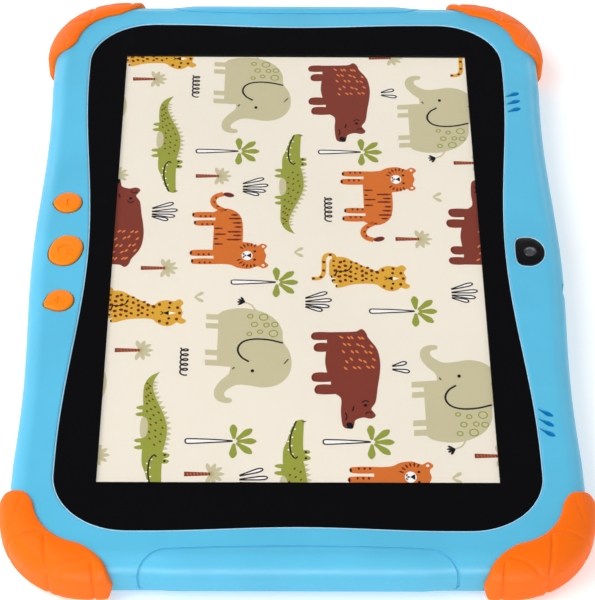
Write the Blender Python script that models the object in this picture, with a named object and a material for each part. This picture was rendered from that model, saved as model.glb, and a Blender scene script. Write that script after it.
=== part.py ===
"""A child's 8 inch tablet: a moulded case, four rubber corner bumpers, three front keys and what is inside.

Frame: +X along the long side, +Y towards the edge with the front camera, +Z out of the screen.
The origin is at the middle of the plane that the corner bumpers rest on.
Lengths below are in millimetres; MM turns them into Blender's metres where a mesh is made.
"""

import math

import bmesh
import bpy
from mathutils import Vector

MM = 0.001

# --- Screen and glass: the sizes that drive the rest ---
SCREEN_X, SCREEN_Y = 172.2, 107.6
SCREEN_MIDDLE = -0.8
GLASS_TOP = 14.8
GLASS_THICK = 0.8
GLASS_BEVEL = 0.25

# --- Case, measured from the rest plane ---
LIP_HEIGHT = 0.5
LIP_TOP = GLASS_TOP + LIP_HEIGHT
PLATEAU_TOP = GLASS_TOP + 0.3
EDGE_RADIUS = 5.6
PARTING = 4.8
REAR_FACE = 0.8
REAR_RADIUS = 4.0
REAR_INSET = 0.5
WALL = 2.0
FLOOR_TOP = REAR_FACE + 1.8
TONGUE_TOP = PARTING + 1.5
LEDGE = 3.0
LEDGE_BOTTOM, LEDGE_TOP = 12.0, 13.5
GAP = 0.3
SMALL_GAP = 0.1

# --- Raised thumb grips moulded into both short ends of the frame ---
GRIP_HALF = 41.6
GRIP_STEP = 0.8
GRIP_BOTTOM = 5.6

# --- Corner bumpers ---
BUMPER_LONG_END, BUMPER_SHORT_END = 87.0, 48.3
BUMPER_COVER = 7.5
BUMPER_SIDE, BUMPER_TOP, BUMPER_RIM = 2.3, 0.9, 0.5
BUMPER_STATIONS = 15
BUMPER_PROFILE = 13

# --- Keys: name, centre, tip direction (None for the round power key) ---
KEY_TRAVEL = 0.6
KEY_TOP = 16.1
KEY_FLANGE_TOP, KEY_FLANGE_BOTTOM, KEY_POST_BOTTOM = 12.7, 11.9, 10.9
KEY_FLANGE = 0.6
KEYS = (
    ("volume_down", (-18.8, -68.1), math.radians(-112)),
    ("power", (0.8, -67.6), None),
    ("volume_up", (20.8, -68.2), math.radians(-63)),
)
POWER_HALF_X, POWER_HALF_Y = 6.4, 4.7
VOLUME_RADIUS, VOLUME_TIP = 3.95, 0.9

# --- Button board and its switches ---
BUTTON_BOARD_Z = (7.4, 8.4)
SWITCH_Z = (8.5, 10.0)
SWITCH_HALF = 2.8
SWITCH_WELL = (9.0, 1.9)
PLUNGER_Z = (9.8, 10.7)
PLUNGER_RADIUS = 1.6

# --- Screws ---
COVER_SCREWS = [(sx * 98.6, sy * 63.6) for sx in (-1, 1) for sy in (-1, 1)]
COVER_SCREWS += [(-44.0, 68.8), (44.0, 68.8), (-40.0, -68.8), (40.0, -68.8)]
MAIN_BOARD_SCREWS = [(sx * 57.0, y) for sx in (-1, 1) for y in (47.0, 62.0)]
BUTTON_BOARD_SCREWS = [(-11.2, -68.5), (11.2, -68.5)]

# --- Ports in the camera edge, at these places along X ---
USB_X, JACK_X, CARD_X, MIC_X = -14.0, 12.0, 29.0, -30.0
USB_Z, JACK_Z, CARD_Z, MIC_Z = 8.5, 9.4, 7.65, 7.5
MAIN_BOARD_Z = (6.0, 6.8)

# --- Speaker slots: middle of each group and the way its slots lean ---
SPEAKER_SLOTS = (
    ("left", (-64.6, 67.75), (-1.95, 4.0)),
    ("right", (64.6, 67.75), (2.6, 4.0)),
)
SLOT_PITCH = 3.5
SLOT_LENGTH = 4.8
SLOT_THIN, SLOT_FAT = 0.35, 0.9

# --- Cameras ---
FRONT_CAMERA = (0.0, 68.1)
REAR_CAMERA = (78.0, 48.0)

# Colour, roughness and metallic value of each material
FINISHES = {
    "blue_plastic": ((0.11, 0.52, 0.83), 0.45, 0.0),
    "orange_rubber": ((1.0, 0.20, 0.01), 0.6, 0.0),
    "orange_key": ((1.0, 0.26, 0.01), 0.5, 0.0),
    "black_glass": ((0.01, 0.01, 0.012), 0.15, 0.0),
    "black_plastic": ((0.02, 0.02, 0.022), 0.5, 0.0),
    "clear_glass": ((0.05, 0.06, 0.07), 0.05, 0.0),
    "display": ((0.88, 0.83, 0.74), 0.4, 0.0),
    "steel": ((0.55, 0.56, 0.58), 0.35, 1.0),
    "circuit_board": ((0.02, 0.16, 0.07), 0.5, 0.0),
    "foam": ((0.03, 0.03, 0.03), 0.95, 0.0),
    "battery_foil": ((0.6, 0.61, 0.63), 0.35, 0.3),
    "flex_amber": ((0.62, 0.28, 0.05), 0.45, 0.0),
    "copper_foil": ((0.72, 0.40, 0.22), 0.35, 0.8),
}


# ---------------------------------------------------------------- scene and materials


def clear_scene():
    for obj in list(bpy.data.objects):
        bpy.data.objects.remove(obj)


def make_materials():
    """One Principled material for each finish."""
    made = {}
    for name, (colour, roughness, metallic) in FINISHES.items():
        material = bpy.data.materials.new(name)
        material.use_nodes = True
        shader = material.node_tree.nodes["Principled BSDF"]
        shader.inputs["Base Color"].default_value = (*colour, 1.0)
        shader.inputs["Roughness"].default_value = roughness
        shader.inputs["Metallic"].default_value = metallic
        material.diffuse_color = (*colour, 1.0)
        made[name] = material
    return made


def add_object(name, bm, finish=None, smooth_degrees=None, parent=None, origin=(0, 0, 0)):
    """Turns a bmesh in millimetres into an object whose origin is at the given point."""
    bmesh.ops.recalc_face_normals(bm, faces=bm.faces)
    bmesh.ops.translate(bm, verts=bm.verts, vec=-Vector(origin))
    bmesh.ops.scale(bm, verts=bm.verts, vec=(MM, MM, MM))
    mesh = bpy.data.meshes.new(name)
    bm.to_mesh(mesh)
    bm.free()
    obj = bpy.data.objects.new(name, mesh)
    bpy.context.scene.collection.objects.link(obj)
    obj.location = Vector(origin) * MM
    if finish:
        mesh.materials.append(MATERIALS[finish])
    if smooth_degrees:
        mesh.shade_smooth()
        mesh.set_sharp_from_angle(angle=math.radians(smooth_degrees))
    if parent:
        obj.parent = parent
        obj.location -= parent.location
    return obj


def as_helper(obj):
    """A cutter or a shape to be joined: not a piece of the tablet."""
    obj.hide_render = True
    obj.display_type = "WIRE"
    return obj


def combine(obj, helper, operation):
    modifier = obj.modifiers.new(operation.lower() + "_" + helper.name, "BOOLEAN")
    modifier.operation = operation
    modifier.object = as_helper(helper)


# ---------------------------------------------------------------- plan outlines


def wave(place, amplitude, half_period, last):
    """A side's swing in or out at this place along it. After last half periods it stays level."""
    return amplitude * math.cos(math.pi * min(abs(place) / half_period, last))


def wavy_rectangle(half_x, half_y, corner, wave_x, wave_y, short_steps, long_steps=14, corner_steps=7):
    """Points and outward normals round a rounded rectangle whose sides wave.

    wave_x and wave_y are what wave takes: the swing of the short sides along X and of the
    long sides along Y. short_steps are places on a short side, as shares of its half length.
    """
    centre_x, centre_y = half_x - corner, half_y - corner
    quarter = math.pi / 2
    stations = []
    for side in range(4):
        along_short = side % 2 == 0
        turn = side * quarter
        nx, ny = round(math.cos(turn)), round(math.sin(turn))
        if along_short:
            shares = [nx * share for share in short_steps]
            places = [(nx * half_x, share * centre_y) for share in shares]
        else:
            shares = [ny * (1 - 2 * i / long_steps) for i in range(long_steps + 1)]
            places = [(share * centre_x, ny * half_y) for share in shares]
        stations += [(place, (nx, ny)) for place in places]
        next_x, next_y = round(math.cos(turn + quarter)), round(math.sin(turn + quarter))
        middle = ((nx + next_x) * centre_x, (ny + next_y) * centre_y)
        for i in range(1, corner_steps):
            angle = turn + quarter * i / corner_steps
            normal = (math.cos(angle), math.sin(angle))
            place = (middle[0] + corner * normal[0], middle[1] + corner * normal[1])
            stations.append((place, normal))
    ring = []
    for (x, y), (nx, ny) in stations:
        place = Vector((x + nx * wave(y, *wave_x), y + ny * wave(x, *wave_y)))
        ring.append((place, Vector((nx, ny))))
    return ring


BODY = dict(half_x=112.8, half_y=77.1, corner=22.0, wave_x=(0.0, 1.0, 1.0), wave_y=(0.72, 52.0, 1.45))
GLASS = dict(half_x=100.8, half_y=63.05, corner=18.0, wave_x=(-0.6, 40.0, 1.0), wave_y=(-2.15, 77.0, 1.0))
GRIP_SHARE = GRIP_HALF / (BODY["half_y"] - BODY["corner"])
GRIP_EDGE_SHARE = (GRIP_HALF + GRIP_STEP) / (BODY["half_y"] - BODY["corner"])
SHORT_STEPS = [-1.0, -0.88, -GRIP_EDGE_SHARE, -GRIP_SHARE, -0.5, -0.25, 0.0]
SHORT_STEPS += [-share for share in reversed(SHORT_STEPS[:-1])]
BODY_RING = wavy_rectangle(**BODY, short_steps=SHORT_STEPS)
GLASS_RING = wavy_rectangle(**GLASS, short_steps=SHORT_STEPS)


def egg_outline(centre, half_x, half_y, power=2.3, steps=20):
    """The power key: a soft oval, a little squarer than an ellipse."""
    points = []
    for i in range(steps):
        angle = 2 * math.pi * i / steps
        c, s = math.cos(angle), math.sin(angle)
        x = half_x * math.copysign(abs(c) ** (2 / power), c)
        y = half_y * math.copysign(abs(s) ** (2 / power), s)
        points.append(Vector((centre[0] + x, centre[1] + y)))
    return points


def drop_outline(centre, radius, tip, direction, steps=20):
    """A volume key: a round with a soft point that stands out by tip in one direction."""
    points = []
    for i in range(steps):
        angle = 2 * math.pi * i / steps
        reach = radius + tip * max(0.0, math.cos(angle - direction)) ** 3
        points.append(Vector((centre[0] + reach * math.cos(angle), centre[1] + reach * math.sin(angle))))
    return points


def camera_window_outline(centre, half_x=5.75, inner=4.2, outer=4.3, steps=20):
    """The camera window: flat on the screen's side, round towards the tablet's edge."""
    points = []
    for i in range(steps):
        angle = 2 * math.pi * i / steps
        c, s = math.cos(angle), math.sin(angle)
        power = 2.1 if s > 0 else 4.0
        x = half_x * math.copysign(abs(c) ** (2 / power), c)
        y = (outer if s > 0 else inner) * math.copysign(abs(s) ** (2 / power), s)
        points.append(Vector((centre[0] + x * (1 - 0.12 * max(s, 0)), centre[1] + y)))
    return points


def slot_outline(middle, lean, steps=14):
    """A speaker slot: a drop, thin at the screen's side and fat at the outer end."""
    direction = Vector(lean).normalized()
    across = Vector((-direction.y, direction.x))
    points = []
    for i in range(steps):
        angle = 2 * math.pi * i / steps
        along = math.cos(angle)
        half_width = SLOT_THIN + (SLOT_FAT - SLOT_THIN) * (along + 1) / 2
        offset = direction * (along * SLOT_LENGTH / 2) + across * (math.sin(angle) * half_width)
        points.append(Vector(middle) + offset)
    return points


def grown(points, amount):
    """The closed outline moved outwards by amount."""
    moved = []
    for i, point in enumerate(points):
        along = points[(i + 1) % len(points)] - points[i - 1]
        moved.append(point + Vector((along.y, -along.x)).normalized() * amount)
    return moved


def circle(centre, radius, steps=16):
    turns = [2 * math.pi * i / steps for i in range(steps)]
    return [Vector((centre[0] + radius * math.cos(t), centre[1] + radius * math.sin(t))) for t in turns]


def key_outline(centre, direction):
    if direction is None:
        return egg_outline(centre, POWER_HALF_X, POWER_HALF_Y)
    return drop_outline(centre, VOLUME_RADIUS, VOLUME_TIP, direction)


# ---------------------------------------------------------------- solids from outlines


def loft(bm, rings, closed=False):
    """Faces through rings of equal length. Open ends get a flat cap; a closed loft joins last to first."""
    made = [[bm.verts.new(point) for point in ring] for ring in rings]
    pairs = list(zip(made, made[1:]))
    if closed:
        pairs.append((made[-1], made[0]))
    for lower, upper in pairs:
        for i in range(len(lower)):
            j = (i + 1) % len(lower)
            bm.faces.new((lower[i], lower[j], upper[j], upper[i]))
    if not closed:
        bm.faces.new(made[0])
        bm.faces.new(made[-1])


def at_height(points, z):
    return [Vector((p.x, p.y, z)) for p in points]


def prism(bm, points, low, high):
    loft(bm, [at_height(points, low), at_height(points, high)])


def add_box(bm, x, y, z):
    """A box from ranges along X, Y and Z."""
    corners = [Vector((x[0], y[0])), Vector((x[1], y[0])), Vector((x[1], y[1])), Vector((x[0], y[1]))]
    prism(bm, corners, z[0], z[1])


def rounded_box_points(x, y, corner, steps=3):
    """A rectangle in plan with rounded corners."""
    points = []
    corners = ((x[1], y[1], 0), (x[0], y[1], 1), (x[0], y[0], 2), (x[1], y[0], 3))
    for cx, cy, quadrant in corners:
        inner_x = cx - corner if quadrant in (0, 3) else cx + corner
        inner_y = cy - corner if quadrant in (0, 1) else cy + corner
        for i in range(steps + 1):
            angle = math.pi / 2 * (quadrant + i / steps)
            points.append(Vector((inner_x + corner * math.cos(angle), inner_y + corner * math.sin(angle))))
    return points


def make_block(name, x, y, z, finish, corner=0.0):
    """A plain block, or one with rounded corners in plan."""
    bm = bmesh.new()
    if corner:
        prism(bm, rounded_box_points(x, y, corner), z[0], z[1])
    else:
        add_box(bm, x, y, z)
    return add_object(name, bm, finish)


def make_disc(name, centre, radius, z, finish, steps=20):
    bm = bmesh.new()
    prism(bm, circle(centre, radius, steps), z[0], z[1])
    return add_object(name, bm, finish, smooth_degrees=40)


def shifted(ring, amount):
    """The places of a ring of (point, normal) moved outwards by amount."""
    return [point + normal * amount for point, normal in ring]


# ---------------------------------------------------------------- front frame and rear cover


def on_grip(index):
    """Whether this station lies on a raised thumb grip."""
    point = BODY_RING[index][0]
    return abs(point.y) <= GRIP_HALF + 0.01 and abs(point.x) > BODY["half_x"] - 1.0


def frame_profile(index):
    """The frame's closed cross-section at one station, from the ledge's inner edge round and back."""
    glass, glass_normal = GLASS_RING[index]
    body, body_normal = BODY_RING[index]
    step = GRIP_STEP if on_grip(index) else 0.0

    def by_glass(offset, z):
        place = glass + glass_normal * offset
        return Vector((place.x, place.y, z))

    def by_body(offset, z):
        place = body + body_normal * offset
        return Vector((place.x, place.y, z))

    lip_crest = by_glass(0.8, LIP_TOP)
    plateau_end = by_body(-EDGE_RADIUS, PLATEAU_TOP)
    middle = (lip_crest + plateau_end) / 2
    middle.z = (LIP_TOP + PLATEAU_TOP) / 2 + 0.05
    points = [
        by_glass(-LEDGE, LEDGE_BOTTOM),
        by_glass(-LEDGE, LEDGE_TOP),
        by_glass(GAP, LEDGE_TOP),
        by_glass(GAP, LIP_TOP - 0.35),
        lip_crest,
        middle,
        plateau_end,
    ]
    for degrees in (8, 28, 48, 68, 90):
        angle = math.radians(degrees)
        reach = EDGE_RADIUS + step
        points.append(
            by_body(
                -EDGE_RADIUS + reach * math.sin(angle),
                PLATEAU_TOP - EDGE_RADIUS + reach * math.cos(angle),
            )
        )
    points += [
        by_body(step, GRIP_BOTTOM + GRIP_STEP),
        by_body(0.0, GRIP_BOTTOM),
        by_body(0.0, PARTING),
        by_body(-WALL, PARTING),
        by_body(-WALL, 9.2),
        by_body(-4.2, 12.2),
        by_body(-6.5, PLATEAU_TOP - WALL),
        by_glass(1.3, PLATEAU_TOP - WALL),
        by_glass(0.7, LEDGE_BOTTOM),
    ]
    return points


def port_cutters(bm):
    """Holes through the frame's wall in the camera edge, for the ports."""
    outer, inner = 84.0, 72.5

    def across(points, near, far):
        loft(bm, [[Vector((p.x, y, p.y)) for p in points] for y in (near, far)])

    across(rounded_box_points((USB_X - 6.0, USB_X + 6.0), (USB_Z - 2.8, USB_Z + 2.8), 2.0), inner, outer)
    across(circle((JACK_X, JACK_Z), 3.4), inner, outer)
    across(rounded_box_points((CARD_X - 6.3, CARD_X + 6.3), (CARD_Z - 0.9, CARD_Z + 0.9), 0.8), inner, outer)
    across(circle((MIC_X, MIC_Z), 0.6, 8), inner, outer)


def make_front_frame():
    bm = bmesh.new()
    profiles = [frame_profile(i) for i in range(len(BODY_RING))]
    loft(bm, profiles, closed=True)
    frame = add_object("front_frame", bm, "blue_plastic", smooth_degrees=35)

    bosses = bmesh.new()
    for place in COVER_SCREWS:
        prism(bosses, circle(place, 3.0, 12), 3.2, 13.9)
    for place in BUTTON_BOARD_SCREWS:
        prism(bosses, circle(place, 2.0, 12), BUTTON_BOARD_Z[1] + SMALL_GAP, 13.9)
    combine(frame, add_object("frame_bosses", bosses), "UNION")

    holes = bmesh.new()
    for place in COVER_SCREWS:
        prism(holes, circle(place, 1.4, 10), 2.0, 9.8)
    for place in BUTTON_BOARD_SCREWS:
        prism(holes, circle(place, 0.9, 10), 8.0, 12.2)
    for _, centre, direction in KEYS:
        outline = key_outline(centre, direction)
        wide, close = grown(outline, KEY_FLANGE + GAP), grown(outline, 0.2)
        shelf = KEY_FLANGE_TOP + GAP
        levels = ((wide, 10.4), (wide, shelf), (close, shelf), (close, 17.0))
        loft(holes, [at_height(points, z) for points, z in levels])
    prism(holes, grown(camera_window_outline(FRONT_CAMERA), 0.15), 11.0, 17.0)
    for _, middle, lean in SPEAKER_SLOTS:
        for step in (-1, 0, 1):
            prism(holes, slot_outline((middle[0] + step * SLOT_PITCH, middle[1]), lean), 11.0, 17.0)
    port_cutters(holes)
    combine(frame, add_object("frame_holes", holes), "DIFFERENCE")
    return frame


def make_rear_cover():
    rings = [at_height(shifted(BODY_RING, -REAR_INSET - REAR_RADIUS), REAR_FACE)]
    for degrees in (25, 50, 72, 90):
        angle = math.radians(degrees)
        offset = -REAR_INSET - REAR_RADIUS + REAR_RADIUS * math.sin(angle)
        z = REAR_FACE + REAR_RADIUS - REAR_RADIUS * math.cos(angle)
        rings.append(at_height(shifted(BODY_RING, offset), min(z, PARTING - GAP)))
    tongue_out, tongue_in = -WALL - GAP, -WALL - GAP - 1.0
    rings.append(at_height(shifted(BODY_RING, tongue_out), PARTING - GAP))
    rings.append(at_height(shifted(BODY_RING, tongue_out), TONGUE_TOP))
    rings.append(at_height(shifted(BODY_RING, tongue_in), TONGUE_TOP))
    rings.append(at_height(shifted(BODY_RING, tongue_in), FLOOR_TOP + 1.2))
    rings.append(at_height(shifted(BODY_RING, tongue_in - 1.2), FLOOR_TOP))
    bm = bmesh.new()
    loft(bm, rings)
    cover = add_object("rear_cover", bm, "blue_plastic", smooth_degrees=35)

    posts = bmesh.new()
    for place in MAIN_BOARD_SCREWS:
        prism(posts, circle(place, 2.4, 12), FLOOR_TOP - 0.6, MAIN_BOARD_Z[0] - SMALL_GAP)
    combine(cover, add_object("rear_posts", posts), "UNION")

    holes = bmesh.new()
    for place in COVER_SCREWS:
        head, shank = circle(place, 3.2, 12), circle(place, 1.6, 12)
        seat = REAR_FACE + 1.1
        levels = ((head, -1.0), (head, seat), (shank, seat), (shank, 4.0))
        loft(holes, [at_height(points, z) for points, z in levels])
    for place in MAIN_BOARD_SCREWS:
        prism(holes, circle(place, 0.95, 10), 3.4, 8.0)
    prism(holes, circle(REAR_CAMERA, 6.15, 24), -1.0, 4.0)
    combine(cover, add_object("rear_holes", holes), "DIFFERENCE")
    return cover


# ---------------------------------------------------------------- corner bumpers


def corner_path(distance, sign_x, sign_y):
    """The case's side, as (point, normal), this far along a corner from the bumper's long-side end."""
    corner, half_x, half_y = BODY["corner"], BODY["half_x"], BODY["half_y"]
    centre_x, centre_y = half_x - corner, half_y - corner
    straight = centre_x - BUMPER_LONG_END
    arc = corner * math.pi / 2
    if distance < straight:
        place, normal = Vector((BUMPER_LONG_END + distance, half_y)), Vector((0, 1))
    elif distance < straight + arc:
        angle = math.pi / 2 - (distance - straight) / corner
        normal = Vector((math.cos(angle), math.sin(angle)))
        place = Vector((centre_x, centre_y)) + normal * corner
    else:
        place, normal = Vector((half_x, centre_y - (distance - straight - arc))), Vector((1, 0))
    place.y += normal.y * wave(place.x, *BODY["wave_y"])
    return Vector((place.x * sign_x, place.y * sign_y)), Vector((normal.x * sign_x, normal.y * sign_y))


def bumper_length():
    straights = (BODY["half_x"] - BODY["corner"] - BUMPER_LONG_END) + (
        BODY["half_y"] - BODY["corner"] - BUMPER_SHORT_END
    )
    return straights + BODY["corner"] * math.pi / 2


def case_surface(travel, upper):
    """(offset, height, tilt) on the case's side, this far up (or down) from the middle of its straight wall.

    Offset is outwards from the case's side. Tilt is 0 on the wall and a quarter turn on the flat.
    """
    wall_top, wall_bottom = PLATEAU_TOP - EDGE_RADIUS, PARTING
    middle, half_wall = (wall_top + wall_bottom) / 2, (wall_top - wall_bottom) / 2
    radius = EDGE_RADIUS if upper else REAR_RADIUS
    sign = 1 if upper else -1
    if travel < half_wall:
        return 0.0, middle + sign * travel, 0.0
    if travel < half_wall + radius * math.pi / 2:
        tilt = (travel - half_wall) / radius
        height = middle + sign * (half_wall + radius * math.sin(tilt))
        return -radius * (1 - math.cos(tilt)), height, sign * tilt
    flat = travel - half_wall - radius * math.pi / 2
    return -radius - flat, middle + sign * (half_wall + radius), sign * math.pi / 2


def travel_to_cover(cover, upper):
    """How far to travel round the case's section to lie this far in from its side."""
    radius = EDGE_RADIUS if upper else REAR_RADIUS
    half_wall = (PLATEAU_TOP - EDGE_RADIUS - PARTING) / 2
    if cover < radius:
        return half_wall + radius * math.acos(1 - cover / radius)
    return half_wall + radius * math.pi / 2 + cover - radius


def bumper_profile(share):
    """The bumper's closed section at share -1 to 1 along the corner, as (offset, height) pairs."""
    fade = (1 - abs(share) ** 2.7) ** 0.75
    cover = max(BUMPER_COVER * fade, 0.3)
    side = BUMPER_RIM + (BUMPER_SIDE - BUMPER_RIM) * (1 - abs(share) ** 10) ** 0.5
    inner, outer = [], []
    last = BUMPER_PROFILE - 1
    for i in range(BUMPER_PROFILE):
        part = 1 - 2 * i / last
        upper = part >= 0
        travel = abs(part) * travel_to_cover(cover, upper)
        offset, height, tilt = case_surface(travel, upper)
        out, up = math.cos(tilt), math.sin(tilt)
        flat_thickness = BUMPER_TOP if upper else BUMPER_RIM
        full = flat_thickness + (side - flat_thickness) * out**2
        edge = min(1.0, (1 - abs(part)) * 4)
        thickness = BUMPER_RIM + (full - BUMPER_RIM) * edge
        inner.append((offset + GAP * out, height + GAP * up))
        outer.append((offset + (GAP + thickness) * out, height + (GAP + thickness) * up))
    return outer + inner[::-1]


def make_bumper(name, sign_x, sign_y):
    bm = bmesh.new()
    rings = []
    for i in range(BUMPER_STATIONS):
        share = math.sin(math.pi / 2 * (2 * i / (BUMPER_STATIONS - 1) - 1))
        place, normal = corner_path((share + 1) / 2 * bumper_length(), sign_x, sign_y)
        ring = []
        for offset, height in bumper_profile(share):
            spot = place + normal * offset
            ring.append(Vector((spot.x, spot.y, height)))
        rings.append(ring)
    loft(bm, rings)
    return add_object(name, bm, "orange_rubber", smooth_degrees=50)


# ---------------------------------------------------------------- glass and display


def make_cover_glass():
    bm = bmesh.new()
    bottom = GLASS_TOP - GLASS_THICK
    loft(
        bm,
        [
            at_height(shifted(GLASS_RING, 0), bottom),
            at_height(shifted(GLASS_RING, 0), GLASS_TOP - GLASS_BEVEL),
            at_height(shifted(GLASS_RING, -GLASS_BEVEL), GLASS_TOP),
        ],
    )
    return add_object("cover_glass", bm, "black_glass", smooth_degrees=30)


def make_ring(name, outer, inner, z, finish):
    """A flat frame between two outlines with the same number of points."""
    bm = bmesh.new()
    profiles = []
    for out, into in zip(outer, inner):
        corners = ((into, z[0]), (into, z[1]), (out, z[1]), (out, z[0]))
        profiles.append([Vector((p.x, p.y, height)) for p, height in corners])
    loft(bm, profiles, closed=True)
    return add_object(name, bm, finish)


def make_display():
    make_cover_glass()
    outer, inner = shifted(GLASS_RING, -0.4), shifted(GLASS_RING, -2.6)
    make_ring("glass_adhesive", outer, inner, (LEDGE_TOP + SMALL_GAP, 13.9), "foam")
    edge_x, edge_y = SCREEN_X / 2 + 5.4, SCREEN_Y / 2 + 3.7
    across, along = (SCREEN_MIDDLE - edge_x, SCREEN_MIDDLE + edge_x), (-edge_y, edge_y)
    make_block("lcd_panel", across, along, (12.6, 13.8), "display", corner=1.0)
    make_block("backlight_unit", across, along, (11.3, 12.4), "steel", corner=1.0)
    plate_x, plate_y = (-94.5, 94.5), (-60.5, 60.5)
    make_block("support_plate", plate_x, plate_y, (10.5, 11.0), "steel", corner=3.0)


# ---------------------------------------------------------------- keys and their switches


def make_key(name, centre, direction):
    """One key: a domed cap, a flange that stops it falling out, and the post under it."""
    pivot = bpy.data.objects.new(name + "_slide", None)
    bpy.context.scene.collection.objects.link(pivot)
    pivot.location = Vector((centre[0], centre[1], PLATEAU_TOP)) * MM
    outline = key_outline(centre, direction)
    flange, post = grown(outline, KEY_FLANGE), circle(centre, 1.8, len(outline))
    bm = bmesh.new()
    loft(
        bm,
        [
            at_height(post, KEY_POST_BOTTOM),
            at_height(post, KEY_FLANGE_BOTTOM),
            at_height(flange, KEY_FLANGE_BOTTOM),
            at_height(flange, KEY_FLANGE_TOP),
            at_height(outline, KEY_FLANGE_TOP),
            at_height(outline, KEY_TOP - 0.75),
            at_height(grown(outline, -0.35), KEY_TOP - 0.3),
            at_height(grown(outline, -1.1), KEY_TOP - 0.08),
            at_height(grown(outline, -2.2), KEY_TOP),
        ],
    )
    origin = (centre[0], centre[1], PLATEAU_TOP)
    add_object(name + "_button", bm, "orange_key", smooth_degrees=60, parent=pivot, origin=origin)
    plunger = bmesh.new()
    prism(plunger, circle(centre, PLUNGER_RADIUS, 12), *PLUNGER_Z)
    add_object(name + "_plunger", plunger, "black_plastic", parent=pivot, origin=origin)


def make_switch(name, centre):
    """A tactile switch's housing, with the well that its plunger sinks into."""
    bm = bmesh.new()
    well_floor, well_radius = SWITCH_WELL
    square = rounded_box_points(
        (centre[0] - SWITCH_HALF, centre[0] + SWITCH_HALF),
        (centre[1] - SWITCH_HALF, centre[1] + SWITCH_HALF),
        0.5,
    )
    well = circle(centre, well_radius, len(square))
    bottom, top = SWITCH_Z
    levels = ((square, bottom), (square, top), (well, top), (well, well_floor))
    loft(bm, [at_height(points, z) for points, z in levels])
    return add_object(name + "_switch", bm, "steel")


def make_keys():
    for name, centre, direction in KEYS:
        make_key(name, centre, direction)
        make_switch(name, centre)
    board_x, board_y = (-29.0, 35.0), (-73.0, -64.2)
    board = make_block("button_board", board_x, board_y, BUTTON_BOARD_Z, "circuit_board", corner=1.5)
    holes = bmesh.new()
    for place in BUTTON_BOARD_SCREWS:
        prism(holes, circle(place, 1.0, 10), 7.0, 9.0)
    combine(board, add_object("button_board_holes", holes), "DIFFERENCE")


# ---------------------------------------------------------------- electronics


def make_main_board():
    outline = [(-62, 42), (62, 42), (62, 65.4), (40, 65.4), (40, 73), (-40, 73), (-40, 65.4), (-62, 65.4)]
    bm = bmesh.new()
    prism(bm, [Vector(p) for p in outline], *MAIN_BOARD_Z)
    board = add_object("main_board", bm, "circuit_board")
    holes = bmesh.new()
    for place in MAIN_BOARD_SCREWS:
        prism(holes, circle(place, 1.0, 10), 5.0, 8.0)
    combine(board, add_object("main_board_holes", holes), "DIFFERENCE")
    on_board = MAIN_BOARD_Z[1] + SMALL_GAP
    make_block("processor_shield", (-12, 24), (44, 60), (on_board, 9.2), "steel", corner=0.8)
    make_block("radio_shield", (-44, -26), (44, 58), (on_board, 8.8), "steel", corner=0.8)
    make_block("microphone", (MIC_X - 1.9, MIC_X + 1.9), (69.2, 72.2), (on_board, 8.1), "steel")


def make_socket(name, x, y, z, cavity, finish):
    """A socket's shell: a block with a pocket in its +Y face.

    Cavity is (half width, half height, depth).
    """
    middle_x, middle_z = sum(x) / 2, sum(z) / 2
    half_width, half_height, depth = cavity
    bm = bmesh.new()

    def rectangle(left, right, low, high, place):
        corners = ((left, low), (right, low), (right, high), (left, high))
        return [Vector((a, place, b)) for a, b in corners]

    outer_face = rectangle(x[0], x[1], z[0], z[1], y[1])
    mouth = (middle_x - half_width, middle_x + half_width, middle_z - half_height, middle_z + half_height)
    rings = [
        rectangle(x[0], x[1], z[0], z[1], y[0]),
        outer_face,
        rectangle(*mouth, y[1]),
        rectangle(*mouth, y[1] - depth),
    ]
    loft(bm, rings)
    return add_object(name, bm, finish)


def make_ports():
    low = MAIN_BOARD_Z[1] + SMALL_GAP
    usb_x, usb_cavity = (USB_X - 4.5, USB_X + 4.5), (4.15, 1.25, 6.4)
    usb = make_socket("charging_port", usb_x, (66.2, 73.6), (low, 10.1), usb_cavity, "steel")
    tongue = bmesh.new()
    add_box(tongue, (USB_X - 3.3, USB_X + 3.3), (66.8, 72.6), (USB_Z - 0.35, USB_Z + 0.35))
    combine(usb, add_object("charging_port_tongue", tongue), "UNION")
    card_x, card_cavity = (CARD_X - 7, CARD_X + 7), (5.7, 0.45, 12.0)
    make_socket("memory_card_slot", card_x, (60.5, 73.4), (low, 8.4), card_cavity, "steel")

    jack = bmesh.new()
    add_box(jack, (JACK_X - 3.4, JACK_X + 3.4), (62.0, 73.6), (low, 11.9))
    jack = add_object("headphone_jack", jack, "black_plastic")
    bore = bmesh.new()
    loft(bore, [[Vector((p.x, y, p.y)) for p in circle((JACK_X, JACK_Z), 1.8, 12)] for y in (63.0, 76.0)])
    combine(jack, add_object("headphone_jack_bore", bore), "DIFFERENCE")


def make_battery():
    make_block("battery", (-81, 37), (-57, 29), (2.9, 7.1), "battery_foil", corner=3.0)
    make_block("battery_tape", (-66, 22), (-44, 16), (FLOOR_TOP + 0.05, 2.85), "foam")
    make_block("battery_board", (-42, -2), (29.4, 33.4), (3.6, 5.6), "circuit_board")


def make_ribbon(name, x, path, thickness, finish):
    """A flat flexible lead: a strip as wide as x, along a path of (y, z) points."""
    bm = bmesh.new()
    upper, lower = [], []
    for i, (y, z) in enumerate(path):
        before, after = path[max(i - 1, 0)], path[min(i + 1, len(path) - 1)]
        along = Vector((after[0] - before[0], after[1] - before[1])).normalized()
        side = Vector((-along.y, along.x)) * thickness / 2
        upper.append((y + side.x, z + side.y))
        lower.append((y - side.x, z - side.y))
    section = upper + lower[::-1]
    loft(bm, [[Vector((place, y, z)) for y, z in section] for place in x])
    return add_object(name, bm, finish)


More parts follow.
